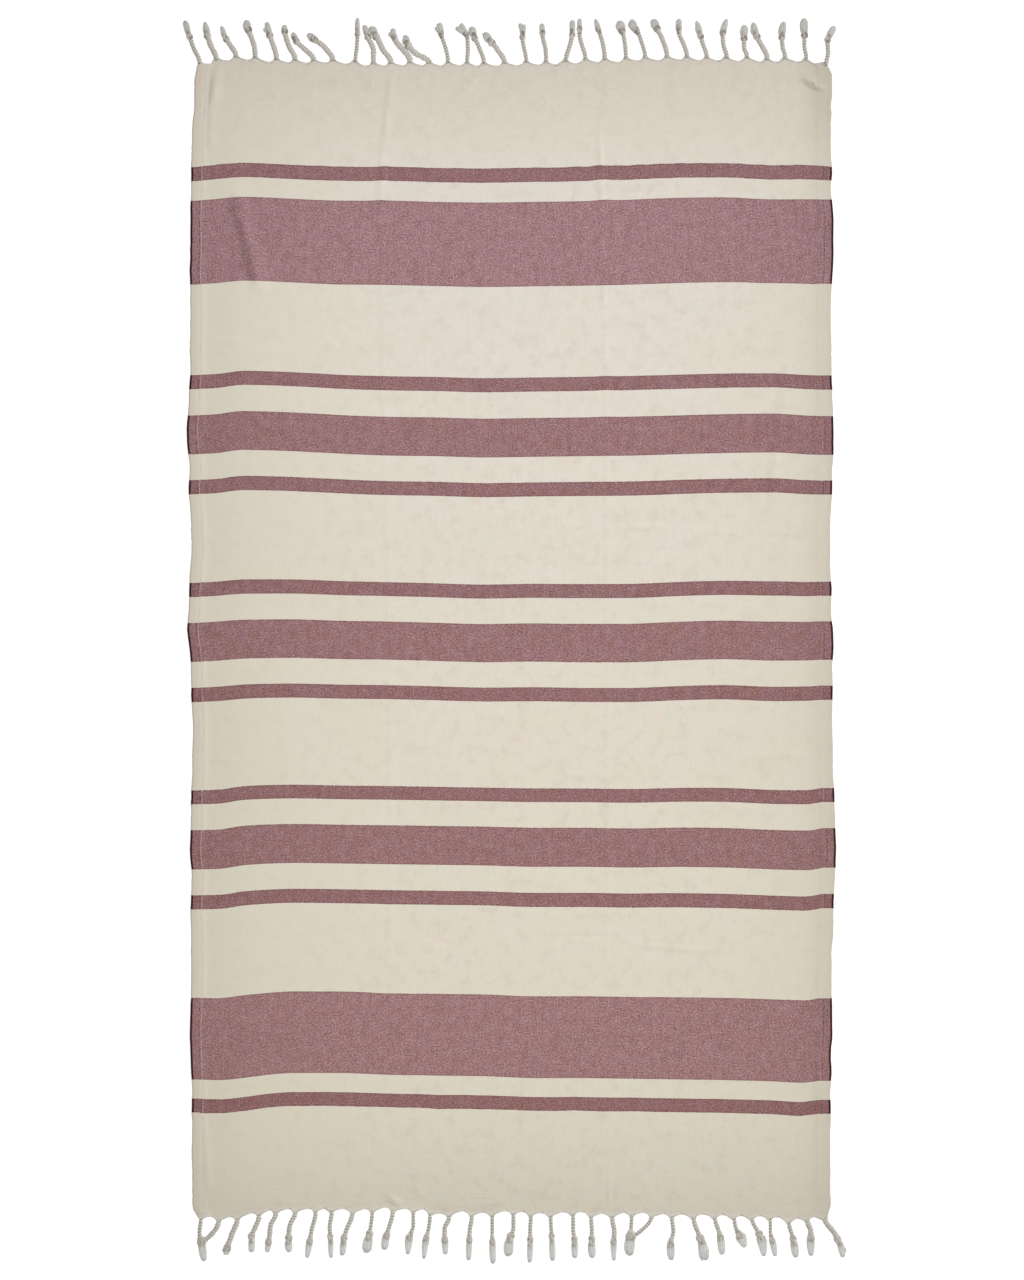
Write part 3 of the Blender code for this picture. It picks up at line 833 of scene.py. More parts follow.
    def relief(self) -> Socket:
        """Height of the weave: diamonds, flecks, and soft crumples along the ends."""
        add, length = self.add, self.plan.length
        fold = add(ABSOLUTE, add(SUBTRACT, self.grain((75.0, 24.0, 30.0)), 0.5))
        loose = add(ADD, add(RANGE, self.down, 50.0, 125.0, 1.0, 0.15),
                    add(RANGE, self.down, length - 60.0, length, 0.0, 0.3))
        here = add(RANGE, self.grain((52.0, 40.0, 17.0), 1.0), 0.48, 0.62)
        crumples = add(MULTIPLY, add(RANGE, fold, 0.0, 0.085, 3.4, 0.0), add(MULTIPLY, loose, here))
        threads = add(ADD, add(MULTIPLY, self.diamonds(), 0.2), add(MULTIPLY, self.fleck, 0.5))
        return add(ADD, threads, crumples)

    def hemmed(self, cream: Socket, mauve: Socket) -> tuple[Socket, Socket]:
        """Marks of the turned sides.

        Args:
            cream: Colour of the ground.
            mauve: Colour of the stripes.

        Returns:
            The ground, blushed over the turning, with painted shade on its fold, down the right side
            and over the top right corner; and the stripes, burgundy on the fold deepened by painted
            shade, with fainter painted shade down the right side and painted shade dotted along the
            needle's line.
        """
        add, marked, fold = self.add, self.recipe.marked, self.selvedge
        from_left = add(ABSOLUTE, self.across)
        from_right = add(ABSOLUTE, add(SUBTRACT, self.across, self.plan.width))
        nearest = add(MINIMUM, from_left, from_right)
        flap = (from_left, self.blush_width + 2, self.blush_width - 2)
        # Painted shade down the right side, deepest at its rim and over the top right corner
        corner = add(MULTIPLY, add(RANGE, from_right, 60.0, 20.0, 0.0, 0.22),
                     add(RANGE, self.down, 150.0, 60.0))
        painted_shade = add(ADD, add(RANGE, from_right, 60.0, 4.0, 0.0, 0.2), corner)
        painted_shade = add(ADD, painted_shade, add(RANGE, from_right, 9.0, 3.0, 0.0, 0.15))
        cream = marked(cream, ((*flap, 0.3, self.hem_blush),))
        # Painted shade down the right side of the cream ground
        cream = add(MIX, painted_shade, cream, linear(self.cream_shadow))
        # Painted shade on the cream ground's fold
        cream = marked(cream, ((nearest, fold * 0.7, fold * 0.3, 0.8, self.cream_edge),))
        mauve = marked(mauve, ((*flap, 0.09, self.fleck_dark),))
        # Fainter painted shade down the right side of the stripes
        mauve = add(MIX, add(MULTIPLY, painted_shade, 0.3), mauve, linear(self.fleck_dark))
        # Painted shade of the needle holes, dotted along the needle's line in the stripes
        off_line = add(ABSOLUTE, add(SUBTRACT, nearest, self.needle_line))
        dots = add(RANGE, self.grain((30.0, 2.6, 9.0), 1.0), 0.42, 0.6, 0.0, 0.6)
        needle_line_shade = add(MULTIPLY, add(RANGE, off_line, 1.3, 0.4), dots)
        mauve = add(MIX, needle_line_shade, mauve, linear(self.burgundy))
        # The stripes' fold: the weft's own burgundy, deepened by painted shade
        return cream, marked(mauve, ((nearest, fold, fold * 0.7, 1.0, self.burgundy),))


@dataclass(frozen=True)
class YarnFinish:
    """Cotton warp yarn, unbleached: spun, twisted into cords, knotted, and cut to soft tufts.

    The twisted cords look warm, with painted shade in their grooves and along their twist, the
    knots slightly darker with painted shade along one side of each loop, and the cut ends painted
    paler and cooler, standing in for light that enters the loose fibres. The name says how hard
    the cords are twisted; the hard-twisted finish also has darker painted shade in its grooves.
    """

    name: str = "cotton_yarn_soft_twist"
    cord: str = "#DAD6CC"
    # Colour of the painted shade in the cords' grooves and along their twist
    groove: str = "#8E867A"
    knot: str = "#C6BFB4"
    tuft: str = "#F0EFEB"
    tuft_shadow: str = "#D9D8D3"
    woven: str = "#DDD4C7"
    # A yarn's twist is 0.8 mm a turn; drawn at 1.8 mm, or it would not show
    twist: float = 1.8

    def make(self) -> Material:
        """Build the material, which reads the attributes strand, cut, tied, woven and the grooves'
        painted shade.

        Returns:
            The material.
        """
        recipe = Recipe(self.name)
        add, strand = recipe.add, recipe.add(STRAND)
        cut, tied, groove, woven = (add(mark) for mark in (CUT, TIED, GROOVE_SHADE, WOVEN))
        turned = add(ADD, add(FIRST, strand), add(SECOND, strand))
        wave = add(SINE, add(MULTIPLY, turned, FULL_TURN / self.twist))
        fibres = recipe.grain(strand, (2.6, 0.6, 1.0))
        twisted = add(ADD, add(MULTIPLY, wave, 0.2), fibres)
        # Painted shade in the grooves between the plies, lighter on the knots
        groove_shading = add(MULTIPLY, add(RANGE, groove, 0.04, 0.4), add(RANGE, tied, 0.0, 1.0, 1.0, 0.55))
        # The twist's lines drawn toward the painted groove shade
        colour = recipe.marked(linear(self.cord), ((twisted, 0.5, 0.15, 0.25, self.groove),))
        # The cut ends painted paler and cooler, standing in for light that enters the loose fibres
        ends = recipe.marked(linear(self.tuft), ((fibres, 0.55, 0.3, 1.0, self.tuft_shadow),))
        for share, tint in ((tied, linear(self.knot)), (groove_shading, linear(self.groove)), (cut, ends),
                            (woven, linear(self.woven))):
            colour = add(MIX, share, colour, tint)
        return recipe.finished(Base_Color=colour, Normal=add(BUMP, twisted, 0.5, 0.3 * MM),
                               Roughness=0.95, Specular_IOR_Level=0.15, Sheen_Weight=0.1,
                               Sheen_Roughness=0.6)


@dataclass(frozen=True)
class ThreadFinish:
    """Polyester-wrapped cotton sewing thread, cream: smoother and a little shinier than yarn."""

    thread: str = "#E8DED2"
    dull: str = "#D2C5B7"

    def make(self) -> Material:
        """The material, mottled along the thread in object space."""
        recipe = Recipe("sewing_thread")
        worn = recipe.grain(recipe.object_place(), (5.0, 9.0, 5.0))
        colour = recipe.marked(linear(self.thread), ((worn, 0.4, 0.62, 1.0, self.dull),))
        return recipe.finished(Base_Color=colour, Roughness=0.7, Specular_IOR_Level=0.3)


@dataclass(frozen=True)
class FloorFinish:
    """Matt studio paper, lit from below as on a light table, which washes the shadows out."""

    paper: str = "#C6C6C5"
    glow: float = 0.74

    def make(self) -> Material:
        """The material, with a faint paper tooth."""
        recipe = Recipe("studio_paper")
        tooth = recipe.grain(recipe.object_place(), (4.0, 4.0, 4.0), 1.0)
        return recipe.finished(
            Base_Color=linear(self.paper), Normal=recipe.add(BUMP, tooth, 0.05, 0.2 * MM),
            Roughness=0.95, Specular_IOR_Level=0.0, Emission_Color=(1.0, 1.0, 1.0, 1.0),
            Emission_Strength=self.glow)


def deselect_all() -> None:
    """Leave nothing selected."""
    for obj in bpy.context.view_layer.objects:
        obj.select_set(False)


def linked(name: str, data: Any) -> Object:
    """A new object of a mesh, light or camera, linked into the scene."""
    obj = bpy.data.objects.new(name, data)
    bpy.context.scene.collection.objects.link(obj)
    return obj


def new_piece(name: str, points: Array, faces: Sequence[Sequence[int]],
              material: Material) -> Object:
    """A smooth-shaded object of a mesh whose points are already in their place.

    Args:
        name: Name of the piece.
        points: Rows of x, y and z in metres.
        faces: Numbers of each face's points.
        material: The finish.

    Returns:
        The object, at the origin.
    """
    mesh = bpy.data.meshes.new(name)
    mesh.from_pydata(points.tolist(), [], faces)
    mesh.materials.append(material)
    mesh.shade_smooth()
    return linked(name, mesh)


def give_attribute(obj: Object, name: str, values: Array) -> None:
    """Store a number, or a row of three, at each point of a mesh.

    Args:
        obj: The mesh object.
        name: Name of the attribute.
        values: One number or row for each point.
    """
    many = values.ndim == 2
    attribute = obj.data.attributes.new(name, "FLOAT_VECTOR" if many else "FLOAT", "POINT")
    attribute.data.foreach_set("vector" if many else "value", values.astype(np.float32).ravel())


def divided(stops: Sequence[float], steps: Sequence[float]) -> list[float]:
    """Places that divide the stretches between some stops evenly.

    Args:
        stops: Where the stretches start and end.
        steps: The longest step in each stretch.

    Returns:
        The places, the last stop left out.
    """
    places: list[float] = []
    for low, high, step in zip(stops, stops[1:], steps):
        count = math.ceil((high - low) / step)
        places += [low + (high - low) * i / count for i in range(count)]
    return places


@dataclass
class Cloth:
    """The woven cloth: a thin sheet laid on its folds, both sides turned under themselves."""

    plan: TowelPlan
    thickness: float = 1.0
    flap: float = 19.0
    fold_radius: float = 0.62
    air: float = 0.02
    seam: float = 16.6
    body_step: float = 7.2
    fold_step: float = 2.9
    row_step: float = 3.6
    plain_row_step: float = 11.0
    stripe_reach: float = 12.0
    gather_reach: float = 14.0
    seed: int = 3
    # Where the lengthwise folds lie across, and the creased stretches down, which need finer steps
    folded: tuple[float, ...] = (286.0, 328.0, 628.0, 662.0)
    creased: tuple[tuple[float, float], ...] = (
        (0.0, 157.0), (415.0, 455.0), (700.0, 755.0), (1070.0, 1100.0), (1345.0, 1395.0),
        (1690.0, 1790.0),
    )

    def hem_profile(self) -> list[tuple[float, float, float]]:
        """The cloth's section through one hem, from its cut edge to the open cloth.

        Returns:
            For each column, its way from the fold along the cloth (less than nothing on the
            flap), its way in from the towel's side, and the height of the cloth's middle.
        """
        rest, radius = self.thickness / 2, self.fold_radius
        turn, top = rest + radius, rest + 2 * radius
        profile = [(-way, way, rest) for way in (self.flap, 13.0, 7.0, 3.0)]
        for degrees in (-60, -25, 0, 25, 60):
            angle = math.radians(degrees)
            profile.append((radius * angle, radius * (1 - math.cos(angle)) + 0.1,
                            turn + radius * math.sin(angle)))
        sewn = rest + self.thickness + self.air
        return profile + [(way, way, height) for way, height in (
            (2.6, top + 0.1), (5.5, top + 0.2), (9.5, top + 0.18), (13.0, top),
            (15.0, sewn + 0.1), (self.seam, sewn), (18.0, sewn + 0.06), (19.6, sewn - 0.05),
            (21.8, rest + 0.62), (24.5, rest + 0.2), (28.0, rest),
        )]

    def body_columns(self, start: float) -> list[float]:
        """Places across of the open cloth's columns, closer together at the lengthwise folds."""
        stops = (start, *self.folded, self.plan.width - start)
        return divided(stops, (self.body_step, self.fold_step) * 2 + (self.body_step,))[1:]

    def rows(self) -> Array:
        """Places down of the rows: every stripe's borders, closer together at the creases.

        Returns:
            The places, in order.
        """
        fixed = {0.0, self.plan.length, *(place for zone in self.creased for place in zone)}
        for stripe in STRIPES:
            fixed |= {stripe.down, stripe.down + stripe.width}
        stops = sorted(fixed)
        steps = [
            self.row_step if any(start <= low and high <= stop for start, stop in self.creased)
            else self.plain_row_step for low, high in zip(stops, stops[1:])
        ]
        return np.array(divided(stops, steps) + [stops[-1]])

    def stripe_depth(self, down: Array) -> tuple[Array, Array]:
        """How each row stands to the stripes.

        Args:
            down: Places down of the rows.

        Returns:
            How far inside a stripe each row lies, less than nothing outside, and how much
            deeper its stripe's colour is.
        """
        depth, deeper = np.full(len(down), -self.stripe_reach), np.zeros(len(down))
        for stripe in STRIPES:
            inside = np.minimum(down - stripe.down, stripe.down + stripe.width - down)
            deeper = np.where(inside > -0.01, stripe.deeper, deeper)
            depth = np.maximum(depth, inside)
        return np.clip(depth, -self.stripe_reach, self.stripe_reach), deeper

    def columns(self, down: Array, inset: Array, body: Array) -> Array:
        """Where each row's columns lie across, drawn to the cords' roots near the ends.

        Args:
            down: Places down of the rows.
            inset: Way in from the side of a hem's columns.
            body: Places across of the open cloth's columns.

        Returns:
            A row of places across for each of down.
        """
        rng = np.random.default_rng(self.seed)
        left, right = (side + rng.normal(0, self.plan.edge_wander, len(down))
                       for side in self.plan.sides(down))
        across = np.column_stack((
            left[:, None] + inset[None],
            left[:, None] + (right - left)[:, None] * body[None] / self.plan.width,
            right[:, None] - inset[None, ::-1],
        ))
        open_cloth = slice(len(inset), len(inset) + len(body))
        for row, end in ((0, FringeEnd.TOP), (-1, FringeEnd.BOTTOM)):
            warp = across[row, open_cloth].copy()
            near = np.clip(1 - np.abs(down - down[row]) / self.gather_reach, 0, 1)
            across[:, open_cloth] += near[:, None] * (self.plan.gathered(warp, end) - warp)
        return across

    def build(self) -> Object:
        """Build the cloth.

        Returns:
            The cloth, with its attributes and finish.
        """
        plan, down = self.plan, self.rows()
        way, inset, hem_height = np.array(self.hem_profile()).T
        body = np.array(self.body_columns(inset[-1]))
        woven = np.concatenate((way, body, plan.width - way[::-1]))
        height = np.concatenate((hem_height, np.full(len(body), self.thickness / 2),
                                 hem_height[::-1]))
        across = self.columns(down, inset, body)
        flat_across = np.clip(np.concatenate((inset, body, plan.width - inset[::-1])), 0, plan.width)
        placed = plan.placed(flat_across, down, (across[0], across[-1]))
        points = np.stack((across, placed, height[None] + plan.lift(across, placed)), axis=-1)
        numbers = np.arange(across.size).reshape(across.shape)
        faces = np.stack((numbers[:-1, :-1], numbers[1:, :-1], numbers[1:, 1:], numbers[:-1, 1:]),
                         axis=-1)
        cloth = new_piece("towel_cloth_weave", plan.world(points.reshape(-1, 3)),
                          faces.reshape(-1, 4).tolist(), TwillFinish(plan).make())
        weave = np.stack(np.broadcast_arrays(woven[None], down[:, None], [[0.0]]), axis=-1)
        give_attribute(cloth, "weave", weave.reshape(-1, 3))
        for name, values in zip(("stripe_depth", "stripe_deeper"), self.stripe_depth(down)):
            give_attribute(cloth, name, np.repeat(values, across.shape[1]))
        self.thicken(cloth)
        return cloth

    def thicken(self, cloth: Object) -> None:
        """Give the sheet its thickness, half of it to each side.

        Args:
            cloth: The sheet.
        """
        layers = cloth.modifiers.new("thickness", "SOLIDIFY")
        layers.thickness = self.thickness * MM
        layers.offset = 0.0
        deselect_all()
        cloth.select_set(True)
        bpy.context.view_layer.objects.active = cloth
        bpy.ops.object.modifier_apply(modifier=layers.name)
        bpy.ops.object.shade_smooth_by_angle(angle=math.radians(60))
        cloth.select_set(False)

    def seam_height(self, across: Array, down: Array) -> Array:
        """Height of the cloth's upper face along the seams."""
        return 2 * self.thickness + self.air + self.plan.lift(across, down)


@dataclass
class HemStitching:
    """The two rows of lock stitches that hold the turned sides, one piece."""

    cloth: Cloth
    stitch: float = 3.0
    gap: float = 0.8
    thread: float = 1.25
    sink: float = 0.3
    flatness: float = 0.7
    margin: float = 4.0
    tighter: float = 0.3
    wander: float = 0.3
    drift: float = 0.08
    straying: float = 0.5
    seed: int = 11

    def one_stitch(self) -> tuple[Array, list[list[int]]]:
        """Model one stitch: a short bent bead of thread, its length along Y.

        Returns:
            Its points in millimetres, and its faces.
        """
        deselect_all()
        bpy.ops.mesh.primitive_uv_sphere_add(segments=6, ring_count=5, radius=0.5)
        bead = bpy.context.object
        bpy.ops.object.mode_set(mode="EDIT")
        bpy.ops.mesh.select_all(action="SELECT")
        bpy.ops.transform.rotate(value=math.pi / 2, orient_axis="X", center_override=(0, 0, 0))
        bpy.ops.transform.resize(value=(self.thread, self.stitch, self.thread * self.flatness))
        bpy.ops.object.mode_set(mode="OBJECT")
        mesh = bead.data
        points = np.array([vert.co for vert in mesh.vertices], float)
        points[:, 2] -= (points[:, 1] / self.stitch * 2) ** 2 * self.sink
        faces = [list(face.vertices)[::-1] for face in mesh.polygons]
        bpy.data.objects.remove(bead)
        bpy.data.meshes.remove(mesh)
        return points, faces

    def build(self) -> Object:
        """Lay the stitches along both seams.

        Returns:
            The stitches as one piece.
        """
        plan, seam = self.cloth.plan, self.cloth.seam
        bead, bead_faces = self.one_stitch()
        downs = np.arange(self.margin, plan.length - self.margin, self.stitch + self.gap)
        left, right = plan.sides(downs)
        rng = np.random.default_rng(self.seed)
        places = []
        for side, line, tighter in ((1, left, 0.0), (-1, right, self.tighter)):
            insets = seam + rng.normal(0, self.wander, len(downs)).cumsum() * self.drift
            across = line + side * np.clip(insets, seam - self.straying, seam + self.straying)
            placed = plan.placed(np.clip(across, 0, plan.width), downs).diagonal()
            heights = self.cloth.seam_height(across, placed) - tighter
            places.append(np.column_stack((across, placed, heights)))
        points = np.concatenate(places)[:, None] + bead
        faces = [[start + number for number in face]
                 for start in range(0, points.shape[0] * len(bead), len(bead))
                 for face in bead_faces]
        return new_piece("hem_stitches", plan.world(points.reshape(-1, 3)), faces,
                         ThreadFinish().make())


def headings(line: Array) -> Array:
    """Which way a line runs at each of its points."""
    ahead = np.gradient(line, axis=0)
    return ahead / np.linalg.norm(ahead, axis=1, keepdims=True)


def distances(line: Array) -> Array:
    """How far along a line each of its points lies."""
    return np.concatenate(([0.0], np.cumsum(np.linalg.norm(np.diff(line, axis=0), axis=1))))


def rounded(ring: float) -> float:
    """How far a round end falls back at a share of its radius, as a share of the radius."""
    outermost = 0.97
    return 1 - math.sqrt(1 - min(ring, outermost) ** 2)


@dataclass
class Tubes:
    """Many closed tubes gathered into one mesh, each with its own marks for the finish."""

    points: list[Array] = field(default_factory=list)
    strands: list[Array] = field(default_factory=list)
    marks: dict[str, list[Array]] = field(
        default_factory=lambda: {"cut": [], "tied": [], "woven": [], "groove": []})
    faces: list[list[int]] = field(default_factory=list)
    count: int = 0
    lowest: float = 0.02
    patterns: int = 97

    def add(self, line: Array, radii: Array, sides: int, core: Array | None = None,
            **marks: Any) -> None:
        """Add one tube with rounded ends.

        Args:
            line: Its centreline, rows of across, down and height.
            radii: Its radius at each point of the line.
            sides: Number of its sides.
            core: The middle of the cord that it is part of, a row for each ring. Where its
            skin comes near that, it is marked for painted groove shade.
            marks: How much it is cut, tied or still woven, from 0 to 1, once or for each ring.
        """
        rings, ahead, along = len(line), headings(line), distances(line)
        angles = FULL_TURN * np.arange(sides) / sides
        shell = self.shell(line, ahead, radii, angles)
        seed = float(self.count % self.patterns)
        strand = np.stack(np.broadcast_arrays(along[:, None], angles[None] * radii.mean(), seed),
                          axis=-1)
        caps = line[[0, -1]] + ahead[[0, -1]] * radii[[0, -1], None] * [[-0.5], [0.5]]
        cap_strand = [[along[0], 0.0, seed], [along[-1], 0.0, seed]]
        self.points.append(np.concatenate((shell.reshape(-1, 3), caps)))
        self.strands.append(np.concatenate((strand.reshape(-1, 3), cap_strand)))
        # Painted shade between the plies: the nearer the skin comes to the cord's middle, the darker
        groove = np.zeros((rings, sides))
        if core is not None:
            reach = np.linalg.norm(shell - core[:, None], axis=2)
            groove = 1 - reach / reach.max(axis=1, keepdims=True)
        for name in ("cut", "tied", "woven"):
            each = np.broadcast_to(np.asarray(marks.get(name, 0.0), float), (rings,))
            self.marks[name].append(np.concatenate((np.repeat(each, sides), each[[0, -1]])))
        self.marks["groove"].append(np.concatenate((groove.ravel(), [0.0, 0.0])))
        self.skin(rings, sides)

    def shell(self, line: Array, ahead: Array, radii: Array, angles: Array) -> Array:
        """Points of a tube's rings, none below the floor.

        Args:
            line: Its centreline.
            ahead: Its direction at each point of the line.
            radii: Its radius at each point of the line.
            angles: The angle of each of its sides.

        Returns:
            The points, by ring and side.
        """
        up = UP - ahead * ahead[:, 2:3]
        steep = np.linalg.norm(up, axis=1, keepdims=True) < 0.2
        up = np.where(steep, np.array([1.0, 0.0, 0.0]) - ahead * ahead[:, 0:1], up)
        up /= np.linalg.norm(up, axis=1, keepdims=True)
        aside = np.cross(ahead, up)
        round_it = (np.cos(angles)[None, :, None] * aside[:, None]
                    + np.sin(angles)[None, :, None] * up[:, None])
        shell = line[:, None] + round_it * radii[:, None, None]
        shell[..., 2] = np.maximum(shell[..., 2], self.lowest)
        return shell

    def skin(self, rings: int, sides: int) -> None:
        """Join a tube's newest points with faces, its two ends closed.

        Args:
            rings: Number of its rings.
            sides: Number of its sides.
        """
        side = np.arange(sides)
        after = (side + 1) % sides
        low = self.count + np.arange(rings - 1)[:, None] * sides
        walls = np.stack((low + side, low + after, low + sides + after, low + sides + side), axis=-1)
        first, last, cap = self.count, self.count + (rings - 1) * sides, self.count + rings * sides
        ends = np.stack((np.full(sides, cap), first + after, first + side,
                         np.full(sides, cap + 1), last + side, last + after), axis=-1)
        self.faces += walls.reshape(-1, 4).tolist() + ends.reshape(-1, 3).tolist()
        self.count += rings * sides + 2

    def piece(self, name: str, plan: TowelPlan, material: Material) -> Object:
        """All the tubes as one object.

        Args:
            name: Name of the piece.
            plan: The towel's plan, which places them.
            material: The finish.

        Returns:
            The object with the attributes strand, cut, tied, woven, and the grooves' painted shade.
        """
        obj = new_piece(name, plan.world(np.concatenate(self.points)), self.faces, material)
        for mark, values in {"strand": self.strands, **self.marks}.items():
            give_attribute(obj, mark, np.concatenate(values))
        return obj


@dataclass
class Fringe:
    """One fringe: warp ends gathered, twisted in two plies, knotted and cut to a tuft."""

    plan: TowelPlan
    finish: YarnFinish
    end: FringeEnd
    seed: int
    knot_length: float = 18.0
    ply_radius: float = 2.1
    ply_offset: float = 1.85
    flattened: float = 0.7
    twist_pitch: float = 9.6
    plies_from: float = 2.5
    gathered_at: float = 8.0
    lying_from: float = 10.0
    leaving_height: float = 1.2
    root_yarns: int = 17
    root_yarn: float = 0.8
    knot_height: float = 7.8
    tuft_yarns: int = 30
    tuft_yarn: float = 1.15
    tuft_height: float = 6.0
    stray_lobe: float = 6.5
    straight_root: float = 0.08
    far_share: float = 0.6
    fullness: float = 1.0
    cord_sides: int = 8
    yarn_sides: int = 5

    def __post_init__(self) -> None:
        """Start with no tubes, and a source of their unevenness."""
        self.tubes = Tubes()
        self.rng = np.random.default_rng(self.seed)

    def drift(self, cord: Cord, outs: Array) -> Array:
        """How far across a cord has drifted at some distances out."""
        shares = (0.0, self.straight_root, 0.35, 0.62, 1.0)
        return smooth_curve(outs / cord.reach, shares, (0.0, 0.0, cord.third, cord.later, cord.tip))

    def centreline(self, cord: Cord, outs: Array) -> Array:
        """A cord's middle on the floor at some distances out, rows of across and down."""
        down = self.plan.edge(cord.root, self.end) + self.end.out * outs
        return np.column_stack((cord.root + self.drift(cord, outs), down))

    def middle(self, cord: Cord, out: float) -> Array:
        """A cord's middle on the floor at one distance out."""
        return self.centreline(cord, np.array([out]))[0]

    def heading(self, cord: Cord, outs: Array) -> tuple[Array, Array]:
        """Which way a cord runs at some distances out, and which way lies to its side."""
        nearby = self.centreline(cord, outs + 1.0) - self.centreline(cord, outs - 1.0)
        ahead = nearby / np.linalg.norm(nearby, axis=1, keepdims=True)
        return ahead, np.column_stack((-ahead[:, 1], ahead[:, 0])) * self.end.out

    def size(self, cord: Cord) -> float:
        """A cord's thickness beside that of one with common plies."""
        return self.fullness * cord.wide / (2 * (self.ply_radius + self.ply_offset))

    def rest(self, cord: Cord) -> float:
        """Height of a lying cord's middle."""
        return self.size(cord) * (self.ply_offset * self.flattened + self.ply_radius)

    def build(self) -> Object:
        """Build the fringe.

        Returns:
            The whole fringe as one piece.
        """
        cords = CORDS[self.end]
        strays = {stray.number: stray for stray in STRAYS[self.end]}
        for index, (cord, span) in enumerate(zip(cords, self.plan.root_spans(self.end))):
            self.add_root(cord, span)
            if cord.tuft:
                shared = index + 1 < len(cords) and not cords[index + 1].tuft
                self.add_plies(cord, self.to_knot(cord))
                self.add_knot(cord, shared)
                self.add_tuft(cord, strays.get(index + 1))
            else:
                self.add_plies(cord, self.to_neighbour(cord, cords[index - 1]))
        return self.tubes.piece(f"{self.end.node}_yarn", self.plan, self.finish.make())

    def to_knot(self, cord: Cord) -> Array:
        """Centreline of a cord from where it is gathered to its knot, with its height."""
        outs = np.linspace(self.plies_from, cord.tied, 36)
        rest = self.rest(cord)
        heights = np.interp(outs, (0.0, self.lying_from, cord.tied - 10, cord.tied),
                            (self.leaving_height, rest, rest, self.knot_height / 2))
        return np.column_stack((self.centreline(cord, outs), heights))

    def to_neighbour(self, cord: Cord, neighbour: Cord) -> Array:
        """Centreline of a cord that runs into the knot of the cord on its left.

        Args:
            cord: The cord.
            neighbour: The cord on its left.

        Returns:
            Rows of across, down and height.
        """
        outs = np.linspace(self.plies_from, cord.reach, 26)
        late_turn = 3.2
        share = np.linspace(0, 1, len(outs))[:, None] ** late_turn
        knot = self.middle(neighbour, neighbour.tied)
        line = self.centreline(cord, outs) * (1 - share) + knot * share
        heights = np.interp(outs, (0.0, self.lying_from, cord.reach),
                            (self.leaving_height, self.rest(cord), self.rest(cord) + 0.8))
        return np.column_stack((line, heights))

    def add_plies(self, cord: Cord, line: Array) -> None:
        """Twist two plies round a centreline.

        Args:
            cord: The cord.
            line: The centreline, rows of across, down and height.
        """
        aside = np.cross(headings(line), UP)
        aside /= np.linalg.norm(aside, axis=1, keepdims=True)
        along = distances(line)
        start = self.rng.uniform(0, FULL_TURN)
        thin, full_after, swing, wave = 0.7, 14.0, 0.07, 2.3
        size = self.size(cord) * np.clip(thin + along / full_after, 0, 1)
        radii = self.ply_radius * size * (1 + swing * np.sin(along / wave + start))
        for half in (0.0, math.pi):
            angle = (FULL_TURN * along / self.twist_pitch + start + half)[:, None]
            offset = np.cos(angle) * aside + self.flattened * np.sin(angle) * UP
            ply = line + offset * (self.ply_offset * size)[:, None]
            ply[:, 2] = np.maximum(ply[:, 2], radii)
            self.tubes.add(ply, radii, self.cord_sides, core=line)

    def add_root(self, cord: Cord, span: tuple[float, float]) -> None:
        """Gather a cord's warp ends from the last weft: they run in along it, then turn out.

        The cord's twist pulls them from the right, so those lie lower and longer on the edge.

        Args:
            cord: The cord.
            span: The stretch of the last weft that they leave.
        """
        t = np.linspace(0, 1, 8)
        weights = np.stack(((1 - t) ** 3, 3 * t * (1 - t) ** 2, 3 * t * t * (1 - t), t ** 3))
        top, out, uneven = self.middle(cord, self.gathered_at), self.end.out, self.rng.uniform
        foot = self.plan.drawn_edge(cord.root, self.end)
        inside, turn, far, half_bundle = 2.6, 1.4, 5.0, 1.8 * self.size(cord)
        for place in np.linspace(span[0] + self.root_yarn, span[1] - self.root_yarn, self.root_yarns):
            aside = place - cord.root
            pull, level = (0.2, 0.7) if aside > 0 else (0.4, 1.1)
            woven = np.clip(1.2 - 1.3 * t, 0, 1) * (self.far_share if aside > far else 1.0)
            edge = self.plan.drawn_edge(place, self.end)
            spread = np.sign(aside) * min(abs(aside), 1.0) * half_bundle
            line = weights.T @ np.array([
                (place, edge - out * inside, 0.8),
                (cord.root + pull * aside, edge + out * level, 1.0),
                (cord.root + spread, foot + out * (level + turn), 1.6 + uneven(-0.4, 0.8)),
                (top[0] + spread, top[1], self.rest(cord) + uneven(-1.2, 1.2)),
            ])
            line[:, 1] += self.rng.normal(0, 0.1, len(t))
            radii = self.root_yarn * (1 + 0.1 * self.rng.normal(size=len(t)))
            self.tubes.add(line, radii, self.yarn_sides, woven=woven)

